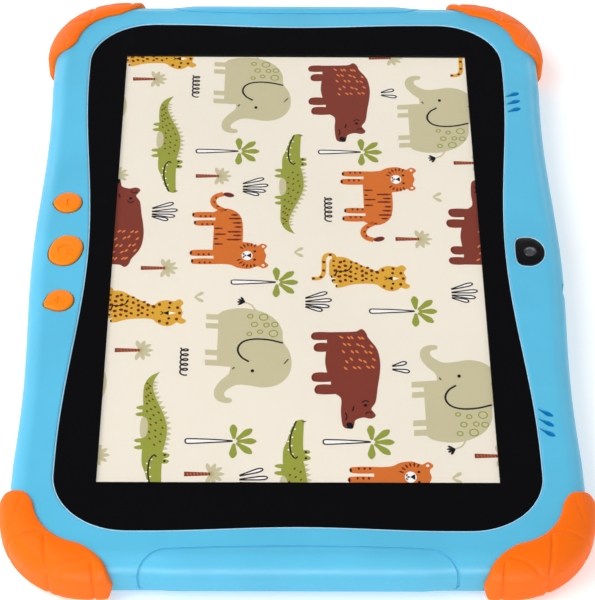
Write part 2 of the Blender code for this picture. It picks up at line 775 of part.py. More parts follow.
def make_leads():
    button_path = [(-68, 8.7), (-60, 8.8), (38, 8.8), (43, 7.6), (50, 7.4)]
    make_ribbon("button_flex", (29.5, 34.5), button_path, 0.2, "flex_amber")
    display_path = [(50, 9.5), (60, 9.5), (61.6, 9.8), (62.0, 10.6), (61.8, 11.3)]
    make_ribbon("display_flex", (-24, -14), display_path, 0.2, "flex_amber")
    make_ribbon("battery_lead", (-24, -20), [(33.8, 4.6), (37, 5.2), (40, 7.8), (43, 7.9)], 0.8, "foam")
    make_block("wifi_antenna", (-110.45, -110.2), (-22, 22), (6.8, 9.2), "copper_foil")


def make_speakers():
    for side, middle, _ in SPEAKER_SLOTS:
        x = (middle[0] - 11, middle[0] + 11)
        make_block("speaker_" + side, x, (64.0, 72.2), (7.9, 11.3), "black_plastic", corner=1.5)
        outer = rounded_box_points((x[0] + 1, x[1] - 1), (64.6, 71.8), 1.0)
        inner = rounded_box_points((x[0] + 3, x[1] - 3), (66.0, 70.6), 0.6)
        make_ring("speaker_gasket_" + side, outer, inner, (11.45, 11.85), "foam")


def make_cameras():
    window = camera_window_outline(FRONT_CAMERA)
    hole = circle(FRONT_CAMERA, 2.1, len(window))
    make_ring("front_camera_window", window, hole, (13.9, LIP_TOP - 0.1), "black_plastic")
    make_disc("front_camera_lens", FRONT_CAMERA, 1.85, (14.2, 15.0), "clear_glass")
    x, y = FRONT_CAMERA
    x_range, y_range = (x - 3.8, x + 3.8), (y - 3.8, y + 3.0)
    make_block("front_camera_module", x_range, y_range, (11.0, 13.7), "black_plastic", corner=0.6)

    steps = 24
    outer, inner = circle(REAR_CAMERA, 5.9, steps), circle(REAR_CAMERA, 4.0, steps)
    make_ring("rear_camera_ring", outer, inner, (0.35, 2.4), "black_plastic")
    make_disc("rear_camera_lens", REAR_CAMERA, 3.8, (0.75, 1.6), "clear_glass")
    x, y = REAR_CAMERA
    x_range, y_range = (x - 4.4, x + 4.4), (y - 4.4, y + 4.4)
    make_block("rear_camera_module", x_range, y_range, (2.8, 7.2), "black_plastic", corner=0.6)


# ---------------------------------------------------------------- screws


def make_screw(name, place, seat, tip, head_radius, head_height, shank_radius, points_up):
    """A pan-head screw. Its head's underside is at seat; the shank runs from there to tip."""
    sign = 1 if points_up else -1
    heights_radii = [
        (seat - sign * head_height, head_radius * 0.8),
        (seat - sign * head_height * 0.7, head_radius),
        (seat, head_radius),
        (seat, shank_radius),
        (tip - sign * shank_radius, shank_radius),
        (tip, shank_radius * 0.4),
    ]
    bm = bmesh.new()
    loft(bm, [at_height(circle(place, radius, 8), z) for z, radius in heights_radii])
    return add_object(name, bm, "steel", smooth_degrees=40)


def make_screws():
    seat = REAR_FACE + 1.0
    for number, place in enumerate(COVER_SCREWS, 1):
        make_screw(f"cover_screw_{number}", place, seat, 9.4, 2.8, 0.9, 1.2, True)
    for number, place in enumerate(MAIN_BOARD_SCREWS, 1):
        make_screw(f"main_board_screw_{number}", place, 6.95, 3.9, 1.6, 0.8, 0.8, False)
    for number, place in enumerate(BUTTON_BOARD_SCREWS, 1):
        make_screw(f"button_board_screw_{number}", place, 7.25, 11.6, 1.6, 0.8, 0.8, True)


def make_tablet():
    make_front_frame()
    make_rear_cover()
    for side_x, sign_x in (("left", -1), ("right", 1)):
        for side_y, sign_y in (("lower", -1), ("upper", 1)):
            make_bumper(f"bumper_{side_y}_{side_x}", sign_x, sign_y)
    make_display()
    make_keys()
    make_main_board()
    make_ports()
    make_battery()
    make_leads()
    make_speakers()
    make_cameras()
    make_screws()


clear_scene()
MATERIALS = make_materials()
make_tablet()
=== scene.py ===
"""The looks of a child's 8 inch tablet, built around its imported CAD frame.

Lengths are in millimetres in the CAD's own frame: +X along the long side, +Y towards the edge
with the front camera, +Z out of the screen. MM turns them into metres where a mesh is made.
"""

import math
import random

import bmesh
import bpy
from mathutils import Matrix, Quaternion, Vector


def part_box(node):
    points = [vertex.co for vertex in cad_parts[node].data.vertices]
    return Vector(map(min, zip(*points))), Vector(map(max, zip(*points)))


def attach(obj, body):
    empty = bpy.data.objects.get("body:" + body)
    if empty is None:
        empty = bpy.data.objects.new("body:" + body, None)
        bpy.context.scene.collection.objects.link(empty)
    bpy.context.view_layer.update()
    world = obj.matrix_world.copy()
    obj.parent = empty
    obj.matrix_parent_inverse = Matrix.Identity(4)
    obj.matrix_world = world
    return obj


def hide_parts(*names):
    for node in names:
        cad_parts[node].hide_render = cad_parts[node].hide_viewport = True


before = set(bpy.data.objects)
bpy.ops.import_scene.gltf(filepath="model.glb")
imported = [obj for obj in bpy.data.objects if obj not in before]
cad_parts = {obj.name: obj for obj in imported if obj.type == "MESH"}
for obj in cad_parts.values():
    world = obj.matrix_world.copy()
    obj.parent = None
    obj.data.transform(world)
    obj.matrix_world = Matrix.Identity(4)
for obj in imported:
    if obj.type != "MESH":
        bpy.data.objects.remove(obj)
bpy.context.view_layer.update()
MM = 0.001
ROOT = "tablet"
KEYS = ("volume_down", "power", "volume_up")


def node_box(name):
    """Lowest and highest corner of a CAD node, in millimetres."""
    low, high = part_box(name)
    return low / MM, high / MM


def node_middle(name):
    low, high = node_box(name)
    return (low + high) / 2


# --- Heights and outlines, read from the frame ---
FRAME_HIGH = node_box("front_frame")[1]
GLASS_LOW, GLASS_HIGH = node_box("cover_glass")
PANEL_TOP = node_box("lcd_panel")[1].z
GLASS_TOP, GLASS_BOTTOM = GLASS_HIGH.z, GLASS_LOW.z
LIP_TOP = GLASS_TOP + 0.5
PLATEAU_TOP = GLASS_TOP + 0.3
REAR_FACE = node_box("rear_cover")[0].z
PARTING = REAR_FACE + 4.0
REAR_RADIUS = 4.0
EDGE_RADIUS = 5.6
WALL = 2.0
LEDGE_TOP, LEDGE_UNDER, RIB_FOOT = 13.5, 12.0, 9.2
BOSS_TOP, BOSS_FOOT, BOARD_BOSS_FOOT = 13.9, 3.2, 8.5
GAP = 0.3
SCREEN_X, SCREEN_Y = 172.2, 107.6
SCREEN_MIDDLE = node_middle("lcd_panel").x
GRIP_STEP = 0.8
REAR_INSET = 0.5

BODY_SWING = 0.72
GLASS_SWING_X, GLASS_SWING_Y = 0.6, 2.15
BODY = dict(half_x=FRAME_HIGH.x - GRIP_STEP, half_y=FRAME_HIGH.y - BODY_SWING, corner=22.0)
BODY.update(wave_x=(0.0, 1.0, 1.0), wave_y=(BODY_SWING, 52.0, 1.45))
GLASS = dict(half_x=GLASS_HIGH.x - GLASS_SWING_X, half_y=GLASS_HIGH.y - GLASS_SWING_Y, corner=18.0)
GLASS.update(wave_x=(-GLASS_SWING_X, 40.0, 1.0), wave_y=(-GLASS_SWING_Y, 77.0, 1.0))

# --- Fine detail ---
PRINT_THICKNESS = 0.04
PANE_RADIUS = 0.15
LIP_GAP, LIP_RADIUS = 0.34, 0.5
SEAM_RADIUS = 0.35
RIM_RADIUS, SLOT_RIM, WINDOW_RIM, PORT_RIM = 0.35, 0.16, 0.2, 0.3
RIM_RISE = 0.08
GRIP_HALF, GRIP_CORNER, GRIP_GROOVE = 41.6, 8.0, 0.42
GRIP_LINE, GRIP_BOW, GRIP_BOW_HALF = 0.6, 0.9, 34.0
GRIP_SIDE_EASE, GRIP_TOP_EASE = 9.6, 5.0
SLOT_DEPTH, SLOT_PITCH = 0.65, 3.5
SLOT_X, SLOT_Y = 64.6, 67.75
# Half width and depth of the pale beads, a painted highlight round the glass and the camera window
HIGHLIGHT_BEAD_HALF, HIGHLIGHT_BEAD_DEPTH = 0.15, 0.8
KEY_GAP, KEY_FLANGE, KEY_CROWN_INSET = 0.2, 0.6, 0.9

# --- Camera that the photograph was taken with, solved from the screen's rectangle ---
CAMERA_TARGET = Vector((18.47, 0.06, 13.87))
CAMERA_DISTANCE, CAMERA_LENS = 633.38, 132.50
CAMERA_ELEVATION, CAMERA_AZIMUTH = math.radians(47.34), math.radians(-0.758)
CAMERA_ROLL = math.radians(0.742)
CAMERA_LEVEL = math.cos(CAMERA_ELEVATION)


# ---------------- colours and materials


def srgb(red, green, blue):
    """Linear colour from 0 to 255 values, with alpha 1."""
    linear = []
    for value in (red / 255, green / 255, blue / 255):
        linear.append(value / 12.92 if value <= 0.04045 else ((value + 0.055) / 1.055) ** 2.4)
    return (*linear, 1.0)


BLUE = srgb(89, 187, 223)
ORANGE = srgb(255, 110, 0)
KEY_ORANGE = srgb(255, 132, 8)


class Nodes:
    """A new material's node tree, with short ways to add nodes and links."""

    def __init__(self, name):
        self.material = bpy.data.materials.new(name)
        self.material.use_nodes = True
        self.tree = self.material.node_tree
        self.shader = self.tree.nodes["Principled BSDF"]
        self.output = self.tree.nodes["Material Output"]
        self.place = self.add("ShaderNodeTexCoord").outputs["Object"]

    def add(self, kind, values=(), **settings):
        """A new node. Values are (input socket, value) pairs."""
        node = self.tree.nodes.new(kind)
        for key, value in settings.items():
            setattr(node, key, value)
        for socket, value in values:
            node.inputs[socket].default_value = value
        return node

    def link(self, source, target):
        self.tree.links.new(source, target)

    def noise(self, size_mm, detail=2.0, rough=0.5):
        """Noise whose blotches are about size_mm across."""
        values = (("Scale", 1 / (size_mm * MM)), ("Detail", detail), ("Roughness", rough))
        node = self.add("ShaderNodeTexNoise", values)
        self.link(self.place, node.inputs["Vector"])
        return node.outputs["Fac"]

    def spread(self, factor, low=0.0, high=1.0):
        """The factor's middle range mapped onto low to high."""
        values = (("From Min", 0.3), ("From Max", 0.7), ("To Min", low), ("To Max", high))
        node = self.add("ShaderNodeMapRange", values)
        self.link(factor, node.inputs["Value"])
        return node.outputs["Result"]

    def tint(self, factor, first, second):
        """The shader's colour, which runs from first to second with the factor."""
        self.link(self.blend(factor, first, second), self.shader.inputs["Base Color"])

    def blend(self, factor, first, second):
        node = self.add("ShaderNodeMix", ((6, first), (7, second)), data_type="RGBA")
        self.link(factor, node.inputs["Factor"])
        return node.outputs[2]

    def bump(self, height, depth_mm):
        node = self.add("ShaderNodeBump", (("Distance", depth_mm * MM),))
        self.link(height, node.inputs["Height"])
        self.link(node.outputs["Normal"], self.shader.inputs["Normal"])

    def set(self, **values):
        """Values for the shader's sockets, their names written with underscores."""
        for key, value in values.items():
            self.shader.inputs[key.replace("_", " ")].default_value = value


def shaded(colour, amount):
    """The colour made darker or lighter, below or above an amount of 1."""
    return (*(min(1.0, part * amount) for part in colour[:3]), 1.0)


def moulded(name, colour, roughness, grain=0.35, depth=0.012, **values):
    """Moulded plastic or rubber: a fine grain, a slow drift in colour and patches of other gloss."""
    nodes = Nodes(name)
    nodes.tint(nodes.spread(nodes.noise(22.0, 3.0)), shaded(colour, 0.96), shaded(colour, 1.04))
    gloss = nodes.spread(nodes.noise(9.0, 4.0, 0.6), roughness - 0.05, roughness + 0.05)
    nodes.link(gloss, nodes.shader.inputs["Roughness"])
    nodes.bump(nodes.noise(grain, 2.0), depth)
    nodes.set(**values)
    return nodes.material


def metal(name, colour, roughness, grain=1.2):
    """Plated or brushed metal with fine streaks along X."""
    nodes = Nodes(name)
    stretch = nodes.add("ShaderNodeMapping", (("Scale", (0.06, 1.0, 1.0)),))
    nodes.link(nodes.place, stretch.inputs["Vector"])
    nodes.place = stretch.outputs["Vector"]
    streaks = nodes.noise(grain, 3.0, 0.7)
    nodes.tint(nodes.spread(streaks), shaded(colour, 0.9), shaded(colour, 1.08))
    gloss = nodes.spread(streaks, roughness - 0.06, roughness + 0.08)
    nodes.link(gloss, nodes.shader.inputs["Roughness"])
    nodes.bump(streaks, 0.006)
    nodes.set(Metallic=1.0)
    return nodes.material


def clear_glass(name, tint=(1.0, 1.0, 1.0, 1.0)):
    """A pane: what is behind it shows unbent, under a polished surface with faint finger marks."""
    nodes = Nodes(name)
    see = nodes.add("ShaderNodeBsdfTransparent", (("Color", tint),))
    gloss = nodes.add("ShaderNodeBsdfGlossy")
    nodes.link(nodes.spread(nodes.noise(14.0, 4.0, 0.65), 0.03, 0.09), gloss.inputs["Roughness"])
    slant = nodes.add("ShaderNodeLayerWeight")
    rise = nodes.add("ShaderNodeMath", ((1, 5.0),), operation="POWER")
    nodes.link(slant.outputs["Facing"], rise.inputs[0])
    mirror = nodes.add("ShaderNodeMapRange", (("To Min", 0.035),))
    nodes.link(rise.outputs["Value"], mirror.inputs["Value"])
    mix = nodes.add("ShaderNodeMixShader")
    nodes.link(mirror.outputs["Result"], mix.inputs["Fac"])
    nodes.link(see.outputs["BSDF"], mix.inputs[1])
    nodes.link(gloss.outputs["BSDF"], mix.inputs[2])
    nodes.link(mix.outputs["Shader"], nodes.output.inputs["Surface"])
    nodes.tree.nodes.remove(nodes.shader)
    return nodes.material


def lit_ink(name, colour):
    """One colour of the lit picture, with the faint unevenness of a backlight."""
    nodes = Nodes(name)
    uneven = nodes.spread(nodes.noise(45.0, 1.0))
    for socket, share in (("Base Color", 0.5), ("Emission Color", 1.0)):
        colours = nodes.blend(uneven, shaded(colour, 0.985 * share), shaded(colour, 1.015 * share))
        nodes.link(colours, nodes.shader.inputs[socket])
    nodes.set(Emission_Strength=0.54, Roughness=0.5, Specular_IOR_Level=0.1)
    return nodes.material


def circuit_board(name):
    """Green solder mask over copper tracks, which show as lighter, slightly raised lines."""
    nodes = Nodes(name)
    values = [("Scale", 180.0), ("Mortar Size", 0.06), ("Mortar", srgb(48, 132, 78))]
    values += [("Color1", srgb(12, 84, 44)), ("Color2", srgb(14, 92, 50))]
    weave = nodes.add("ShaderNodeTexBrick", values)
    nodes.link(nodes.place, weave.inputs["Vector"])
    nodes.link(weave.outputs["Color"], nodes.shader.inputs["Base Color"])
    nodes.link(nodes.spread(nodes.noise(3.0), 0.32, 0.45), nodes.shader.inputs["Roughness"])
    nodes.bump(weave.outputs["Fac"], 0.03)
    return nodes.material


MOULDED = {
    "blue_plastic": dict(colour=BLUE, roughness=0.4, Specular_IOR_Level=0.22),
    "orange_rubber": dict(colour=ORANGE, roughness=0.5, grain=0.5, depth=0.018, Specular_IOR_Level=0.12),
    "orange_key": dict(colour=KEY_ORANGE, roughness=0.5, grain=0.3, Specular_IOR_Level=0.15),
    "black_plastic": dict(colour=srgb(24, 24, 26), roughness=0.45),
    "window_black": dict(colour=srgb(16, 16, 18), roughness=0.2, depth=0.002),
    "border_ink": dict(colour=srgb(8, 8, 9), roughness=0.08, depth=0.0004, Specular_IOR_Level=0.42),
    # Painted shade: the speaker-slot inlays are dark navy and stand in for the shade deep inside the
    # slots.
    "slot_shade_inlay": dict(
        colour=srgb(0, 118, 182), roughness=0.7, grain=0.22, depth=0.06, Specular_IOR_Level=0.1
    ),
    # Painted highlight: the pale blue beads round the glass and the camera window stand in for the bright
    # line of light along those edges.
    "pale_highlight_bead": dict(colour=srgb(176, 224, 246), roughness=0.35, depth=0.003),
    "foam": dict(colour=srgb(38, 38, 38), roughness=0.9, grain=0.25, depth=0.08),
    "lead_sleeve": dict(colour=srgb(28, 28, 30), roughness=0.55, grain=0.8, depth=0.04),
    "battery_foil": dict(colour=srgb(196, 198, 202), roughness=0.3, grain=4.0, depth=0.1, Metallic=0.5),
    "flex_amber": dict(colour=srgb(186, 116, 28), roughness=0.28, grain=2.0, depth=0.02),
    "panel_rim": dict(colour=srgb(60, 62, 66), roughness=0.4),
    "lens_grey": dict(colour=srgb(72, 72, 75), roughness=0.3, depth=0.002, Coat_Weight=0.6),
}
METALS = {
    "steel": dict(colour=srgb(186, 188, 190), roughness=0.32),
    "screw_steel": dict(colour=srgb(150, 152, 156), roughness=0.3, grain=0.5),
    "lens_ring": dict(colour=srgb(168, 174, 182), roughness=0.3, grain=0.6),
    "copper_foil": dict(colour=srgb(196, 122, 84), roughness=0.35),
}


def make_materials():
    made = {name: moulded(name, **look) for name, look in MOULDED.items()}
    made.update({name: metal(name, **look) for name, look in METALS.items()})
    made["circuit_board"] = circuit_board("circuit_board")
    made["cover_glass"] = clear_glass("cover_glass")
    made["clear_lens"] = clear_glass("clear_lens", (0.75, 0.78, 0.82, 1.0))
    return made


# ---------------- meshes


def mesh_object(name, bm):
    """A new object from a bmesh in millimetres."""
    bmesh.ops.recalc_face_normals(bm, faces=bm.faces)
    bmesh.ops.scale(bm, verts=bm.verts, vec=(MM, MM, MM))
    mesh = bpy.data.meshes.new(name)
    bm.to_mesh(mesh)
    bm.free()
    made = bpy.data.objects.new(name, mesh)
    bpy.context.scene.collection.objects.link(made)
    return made


def add_piece(name, bm, material, smooth=None, body=ROOT, replaces=None, slot=None):
    """Makes a piece from a bmesh, rides it on a body and hides the CAD node it replaces."""
    piece = mesh_object(name, bm)
    piece.data.materials.append(MATERIALS[material])
    if smooth:
        shade(piece, smooth)
    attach(piece, body)
    if replaces:
        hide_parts(replaces)
    return piece


def add_loft(name, rings, material, closed=False, **facts):
    bm = bmesh.new()
    loft(bm, rings, closed)
    return add_piece(name, bm, material, **facts)


def add_turned(name, centre, profile, steps, material, smooth=None, **facts):
    bm = bmesh.new()
    turned(bm, centre, profile, steps)
    return add_piece(name, bm, material, smooth, **facts)


def shade(piece, degrees):
    piece.data.shade_smooth()
    piece.data.set_sharp_from_angle(angle=math.radians(degrees))


def weigh_normals(piece):
    """Keeps large faces flat to the eye next to small rounded edges."""
    modifier = piece.modifiers.new("weighted_normals", "WEIGHTED_NORMAL")
    modifier.keep_sharp = True


def carve(piece, bm, operation="DIFFERENCE"):
    """Cuts the closed bodies in bm from the piece, or joins them to it."""
    cutter = mesh_object("cutter", bm)
    modifier = piece.modifiers.new("carve", "BOOLEAN")
    modifier.operation = operation
    modifier.object = cutter
    bpy.context.view_layer.update()
    evaluated = piece.evaluated_get(bpy.context.evaluated_depsgraph_get())
    carved = bpy.data.meshes.new_from_object(evaluated)
    piece.modifiers.remove(modifier)
    piece.data = carved
    bpy.data.objects.remove(cutter)


def loft(bm, rings, closed=False):
    """Faces through rings of equal length. The two end rings are capped, or joined when closed."""
    made = [[bm.verts.new(point) for point in ring] for ring in rings]
    pairs = list(zip(made, made[1:]))
    if closed:
        pairs.append((made[-1], made[0]))
    for lower, upper in pairs:
        for i in range(len(lower)):
            j = (i + 1) % len(lower)
            bm.faces.new((lower[i], lower[j], upper[j], upper[i]))
    if not closed:
        bm.faces.new(made[0])
        bm.faces.new(made[-1])


def lifted(point, z):
    return Vector((point.x, point.y, z))


def at_height(points, z):
    return [lifted(point, z) for point in points]


def chord(points, i):
    """From the point before this one to the point after it, on an open line."""
    return points[min(i + 1, len(points) - 1)] - points[max(i - 1, 0)]


def held(share):
    return min(max(share, 0.0), 1.0)


def prism(bm, points, low, high):
    loft(bm, [at_height(points, low), at_height(points, high)])


def turned(bm, centre, profile, steps):
    """A solid or ring turned about Z. Profile is a closed list of (radius, height)."""
    rings = []
    for i in range(steps):
        angle = 2 * math.pi * i / steps
        c, s = math.cos(angle), math.sin(angle)
        rings.append([Vector((centre[0] + r * c, centre[1] + r * s, z)) for r, z in profile])
    loft(bm, rings, closed=True)
    bmesh.ops.remove_doubles(bm, verts=bm.verts, dist=0.0001)


def tube(bm, path, radius, sides=8):
    """A closed round bar along a list of 3-D points."""
    rings = []
    for i, point in enumerate(path):
        along = chord(path, i).normalized()
        first = along.cross(Vector((0.3, 0.5, 0.8))).normalized()
        second = along.cross(first)
        ring = []
        for k in range(sides):
            angle = 2 * math.pi * k / sides
            ring.append(point + (first * math.cos(angle) + second * math.sin(angle)) * radius)
        rings.append(ring)
    loft(bm, rings)


def raise_faces(bm, faces, thickness):
    """Gives flat faces a thickness upwards."""
    raised = bmesh.ops.extrude_face_region(bm, geom=faces)
    verts = [item for item in raised["geom"] if isinstance(item, bmesh.types.BMVert)]
    bmesh.ops.translate(bm, verts=verts, vec=(0, 0, thickness))


def flat_plate(bm, outlines, low, high):
    """A plate between two heights. The first outline is its edge and the others are holes."""
    edges = []
    for points in outlines:
        verts = [bm.verts.new((p.x, p.y, low)) for p in points]
        edges += [bm.edges.new((verts[i - 1], verts[i])) for i in range(len(verts))]
    filled = bmesh.ops.triangle_fill(bm, use_beauty=True, edges=edges)
    faces = [item for item in filled["geom"] if isinstance(item, bmesh.types.BMFace)]
    raise_faces(bm, faces, high - low)


# ---------------- plan outlines


def eased(share):
    """0 to 1 with a slow start and end, held at both."""
    share = held(share)
    return share * share * (3 - 2 * share)


def quarter_round(share):
    """0 to 1 along a quarter of a circle, steep at first, held at both ends."""
    return math.sqrt(1 - (1 - held(share)) ** 2)


def quarter(radius, *degrees):
    """(inward, upward) steps round a rounded edge: 0 degrees is on the side and 90 on the top."""
    turns = [math.radians(turn) for turn in degrees]
    return [(radius * (1 - math.cos(turn)), radius * math.sin(turn)) for turn in turns]


def wave(place, amplitude, half_period, last):
    """A side's swing in or out at this place along it. After last half periods it stays level."""
    return amplitude * math.cos(math.pi * min(abs(place) / half_period, last))


def wavy_rectangle(half_x, half_y, corner, wave_x, wave_y, short=92, long=110, turn=26):
    """(point, outward normal) round a rounded rectangle whose sides wave.

    Short, long and turn are the steps in a short side, a long side and a corner.
    """
    centre_x, centre_y = half_x - corner, half_y - corner
    right_angle = math.pi / 2
    ring = []
    for side in range(4):
        start = side * right_angle
        nx, ny = round(math.cos(start)), round(math.sin(start))
        steps = long if ny else short
        stations = []
        for i in range(steps + 1):
            share = 2 * i / steps - 1
            if ny:
                stations.append(((-ny * share * centre_x, ny * half_y), (nx, ny)))
            else:
                stations.append(((nx * half_x, nx * share * centre_y), (nx, ny)))
        next_x, next_y = -ny, nx
        middle = ((nx + next_x) * centre_x, (ny + next_y) * centre_y)
        for i in range(1, turn):
            angle = start + right_angle * i / turn
            c, s = math.cos(angle), math.sin(angle)
            stations.append(((middle[0] + corner * c, middle[1] + corner * s), (c, s)))
        for (x, y), (across, up) in stations:
            place = Vector((x + across * wave(y, *wave_x), y + up * wave(x, *wave_y)))
            ring.append((place, Vector((across, up))))
    return ring


BODY_RING = wavy_rectangle(**BODY)
GLASS_RING = wavy_rectangle(**GLASS)


def shifted(ring, amount):
    return [point + normal * amount for point, normal in ring]


def circle(centre, radius, steps=40):
    turns = [2 * math.pi * i / steps for i in range(steps)]
    return [Vector((centre[0] + radius * math.cos(t), centre[1] + radius * math.sin(t))) for t in turns]


def oval(centre, half_x, low_y, high_y, power_low, power_high, narrow=0.0, steps=64):
    """A soft oval whose lower and upper halves may differ in reach and squareness."""
    points = []
    for i in range(steps):
        angle = 2 * math.pi * i / steps
        c, s = math.cos(angle), math.sin(angle)
        power = power_high if s > 0 else power_low
        x = half_x * math.copysign(abs(c) ** (2 / power), c) * (1 - narrow * max(s, 0))
        y = (high_y if s > 0 else low_y) * math.copysign(abs(s) ** (2 / power), s)
        points.append(Vector((centre[0] + x, centre[1] + y)))
    return points


def egg_outline(middle, radius, tip_radius, reach, direction, steps=64):
    """Round a large and a small circle with straight sides. The small one is this far off, this way."""
    heading = Vector((math.cos(direction), math.sin(direction)))
    points = []
    for i in range(steps):
        angle = 2 * math.pi * i / steps
        outward = Vector((math.cos(angle), math.sin(angle)))
        if outward.dot(heading) > (radius - tip_radius) / reach:
            points.append(middle + heading * reach + outward * tip_radius)
        else:
            points.append(middle + outward * radius)
    return points


# The drop-shaped keys: the large circle's offset from the plunger and radius, then the small circle
KEY_DROPS = {
    "volume_down": ((-0.65, 0.0), 4.1, 1.8, 2.6, math.radians(-90)),
    "volume_up": ((-0.7, 0.3), 4.0, 1.8, 3.0, math.radians(-66)),
}
POWER_OFFSET, POWER_LEAN = (-0.5, 0.1), math.radians(-16)


def key_outline(name):
    centre = node_middle(name + "_plunger").xy
    if name in KEY_DROPS:
        offset, *shape = KEY_DROPS[name]
        return egg_outline(centre + Vector(offset), *shape)
    upright = oval((0, 0), 6.0, 4.75, 4.75, 2.25, 2.25)
    turn = Matrix.Rotation(-POWER_LEAN, 2)
    return [centre + Vector(POWER_OFFSET) + point @ turn for point in upright]


def camera_outline():
    return oval(node_middle("front_camera_lens"), 5.75, 4.2, 4.3, 4.0, 2.1, narrow=0.12)


def grown(points, amount):
    """A closed outline moved outwards by this much."""
    moved = []
    for i, point in enumerate(points):
        along = points[(i + 1) % len(points)] - points[i - 1]
        moved.append(point + Vector((along.y, -along.x)).normalized() * amount)
    return moved


def slot_outline(middle, lean, length=4.8, thin=0.42, fat=0.95, steps=44):
    """A speaker slot: a thin tail at the screen's side that opens into a fat outer end."""
    direction = Vector(lean).normalized()
    across = Vector((-direction.y, direction.x))
    points = []
    for i in range(steps):
        angle = 2 * math.pi * i / steps
        along = math.cos(angle)
        half_width = thin + (fat - thin) * eased(along + 0.55)
        offset = direction * (along * length / 2) + across * (math.sin(angle) * half_width)
        points.append(middle + offset)
    return points


def flared(bm, outline, surface, bottom, growth=0.0, radius=RIM_RADIUS):
    """A cutter that leaves a rounded rim where it meets a surface facing up."""
    rings = [at_height(grown(outline, growth), bottom)]
    for outward, up in quarter(radius, 0, 22, 45, 67, 90):
        rings.append(at_height(grown(outline, growth + outward), surface - radius + up))
    rings.append(at_height(grown(outline, growth + radius + 0.1), surface + 2.0))
    loft(bm, rings)


# ---------------- front frame


def case_surface(travel, upper):
    """(offset, height, tilt) on the case, this far up or down round its section from mid wall."""
    wall_top, radius = PLATEAU_TOP - EDGE_RADIUS, EDGE_RADIUS if upper else REAR_RADIUS
    middle, half_wall = (wall_top + PARTING) / 2, (wall_top - PARTING) / 2
    sign = 1 if upper else -1
    if travel < half_wall:
        return 0.0, middle + sign * travel, 0.0
    if travel < half_wall + radius * math.pi / 2:
        tilt = (travel - half_wall) / radius
        height = middle + sign * (half_wall + radius * math.sin(tilt))
        return -radius * (1 - math.cos(tilt)), height, sign * tilt
    flat = travel - half_wall - radius * math.pi / 2
    return -radius - flat, middle + sign * (half_wall + radius), sign * math.pi / 2


EDGE_TRAVEL = (PLATEAU_TOP - EDGE_RADIUS - PARTING) / 2 + EDGE_RADIUS * math.pi / 2


def grip_line(across):
    """How far up round the section from mid wall a thumb grip's upper line runs."""
    return EDGE_TRAVEL + GRIP_LINE - GRIP_BOW * held(abs(across) / GRIP_BOW_HALF) ** 2


def grip_rise(body_point, normal, travel):
    """How far a thumb grip stands out of the frame here: it swells up from its line."""
    if abs(normal.x) < 1:
        return 0.0
    below_line = held((grip_line(body_point.y) - travel) / GRIP_TOP_EASE)
    sideways = eased((GRIP_HALF - abs(body_point.y)) / GRIP_SIDE_EASE)
    return GRIP_STEP * sideways * (1 - (1 - below_line) ** 2)


def on_skin(body_station, travel):
    """The point this far up round the frame's section from mid wall, grips included."""
    place, normal = body_station
    offset, height, tilt = case_surface(abs(travel), travel > 0)
    rise = grip_rise(place, normal, travel)
    spot = place + normal * (offset + rise * math.cos(tilt))
    return lifted(spot, height + rise * math.sin(tilt))


def frame_skin(glass_station, body_station):
    """The frame's outer surface in section, from the lip by the glass round to the parting line."""
    (glass, glass_normal), (body, body_normal) = glass_station, body_station
    points = []
    for degrees in (180, 162, 144, 126, 108, 90):
        angle = math.radians(degrees)
        spot = glass + glass_normal * (LIP_GAP + LIP_RADIUS * (1 + math.cos(angle)))
        points.append(lifted(spot, LIP_TOP + LIP_RADIUS * (math.sin(angle) - 1)))
    crest, end = glass + glass_normal * 1.1, body - body_normal * EDGE_RADIUS
    for i in range(12):
        share = i / 12
        place = crest.lerp(end, share)
        travel = EDGE_TRAVEL - EDGE_RADIUS - (place - body).dot(body_normal)
        z = PLATEAU_TOP + (LIP_TOP - PLATEAU_TOP) * (1 - share) ** 1.5
        points.append(lifted(place, z + grip_rise(body, body_normal, travel)))
    for i in range(21):
        points.append(on_skin(body_station, EDGE_TRAVEL - EDGE_RADIUS * math.pi / 2 * i / 20))
    wall = EDGE_TRAVEL - EDGE_RADIUS * math.pi / 2
    for travel in (wall * 0.4, -wall * 0.3):
        points.append(on_skin(body_station, travel))
    foot = grip_rise(body, body_normal, -wall)
    for inward, down in quarter(SEAM_RADIUS, 0, 30, 60, 90):
        points.append(lifted(body + body_normal * (foot - inward), PARTING + SEAM_RADIUS - down))
    return points


def frame_section(glass_station, body_station):
    """The frame's whole section: its skin, then its inner faces from the wall up to the glass."""
    ceiling = PLATEAU_TOP - WALL
    from_body = ((-WALL, PARTING), (-WALL, RIB_FOOT), (-4.2, LEDGE_UNDER), (-6.5, ceiling))
    from_glass = ((1.3, ceiling), (0.7, LEDGE_UNDER), (-3.0, LEDGE_UNDER))
    from_glass += ((-3.0, LEDGE_TOP), (LIP_GAP, LEDGE_TOP))
    points = frame_skin(glass_station, body_station)
    for (place, normal), stops in ((body_station, from_body), (glass_station, from_glass)):
        points += [lifted(place + normal * offset, z) for offset, z in stops]
    return points


def grip_groove_path(side):
    """The line round a thumb grip: up the end wall, round a corner, across and down again."""
    foot = PARTING - (PLATEAU_TOP - EDGE_RADIUS + PARTING) / 2
    shoulder = grip_line(GRIP_HALF)
    half = [(GRIP_HALF - 1.2, foot + 0.25), (GRIP_HALF - 0.45, foot + 0.45)]
    half.append((GRIP_HALF - 0.06, foot + 1.3))
    half += [(GRIP_HALF, foot + 2.4 + i * 0.8) for i in range(3)]
    for i in range(13):
        angle = math.pi / 2 * i / 12
        across = GRIP_HALF - GRIP_CORNER * (1 - math.cos(angle))
        half.append((across, shoulder - GRIP_CORNER * (1 - math.sin(angle))))
    for i in range(1, 15):
        across = (GRIP_HALF - GRIP_CORNER) * (1 - i / 14)
        half.append((across, grip_line(across)))
    path = half + [(-across, travel) for across, travel in reversed(half[:-1])]
    end_x, normal = side * BODY["half_x"], Vector((side, 0))
    return [on_skin((Vector((end_x, across)), normal), travel) for across, travel in path]


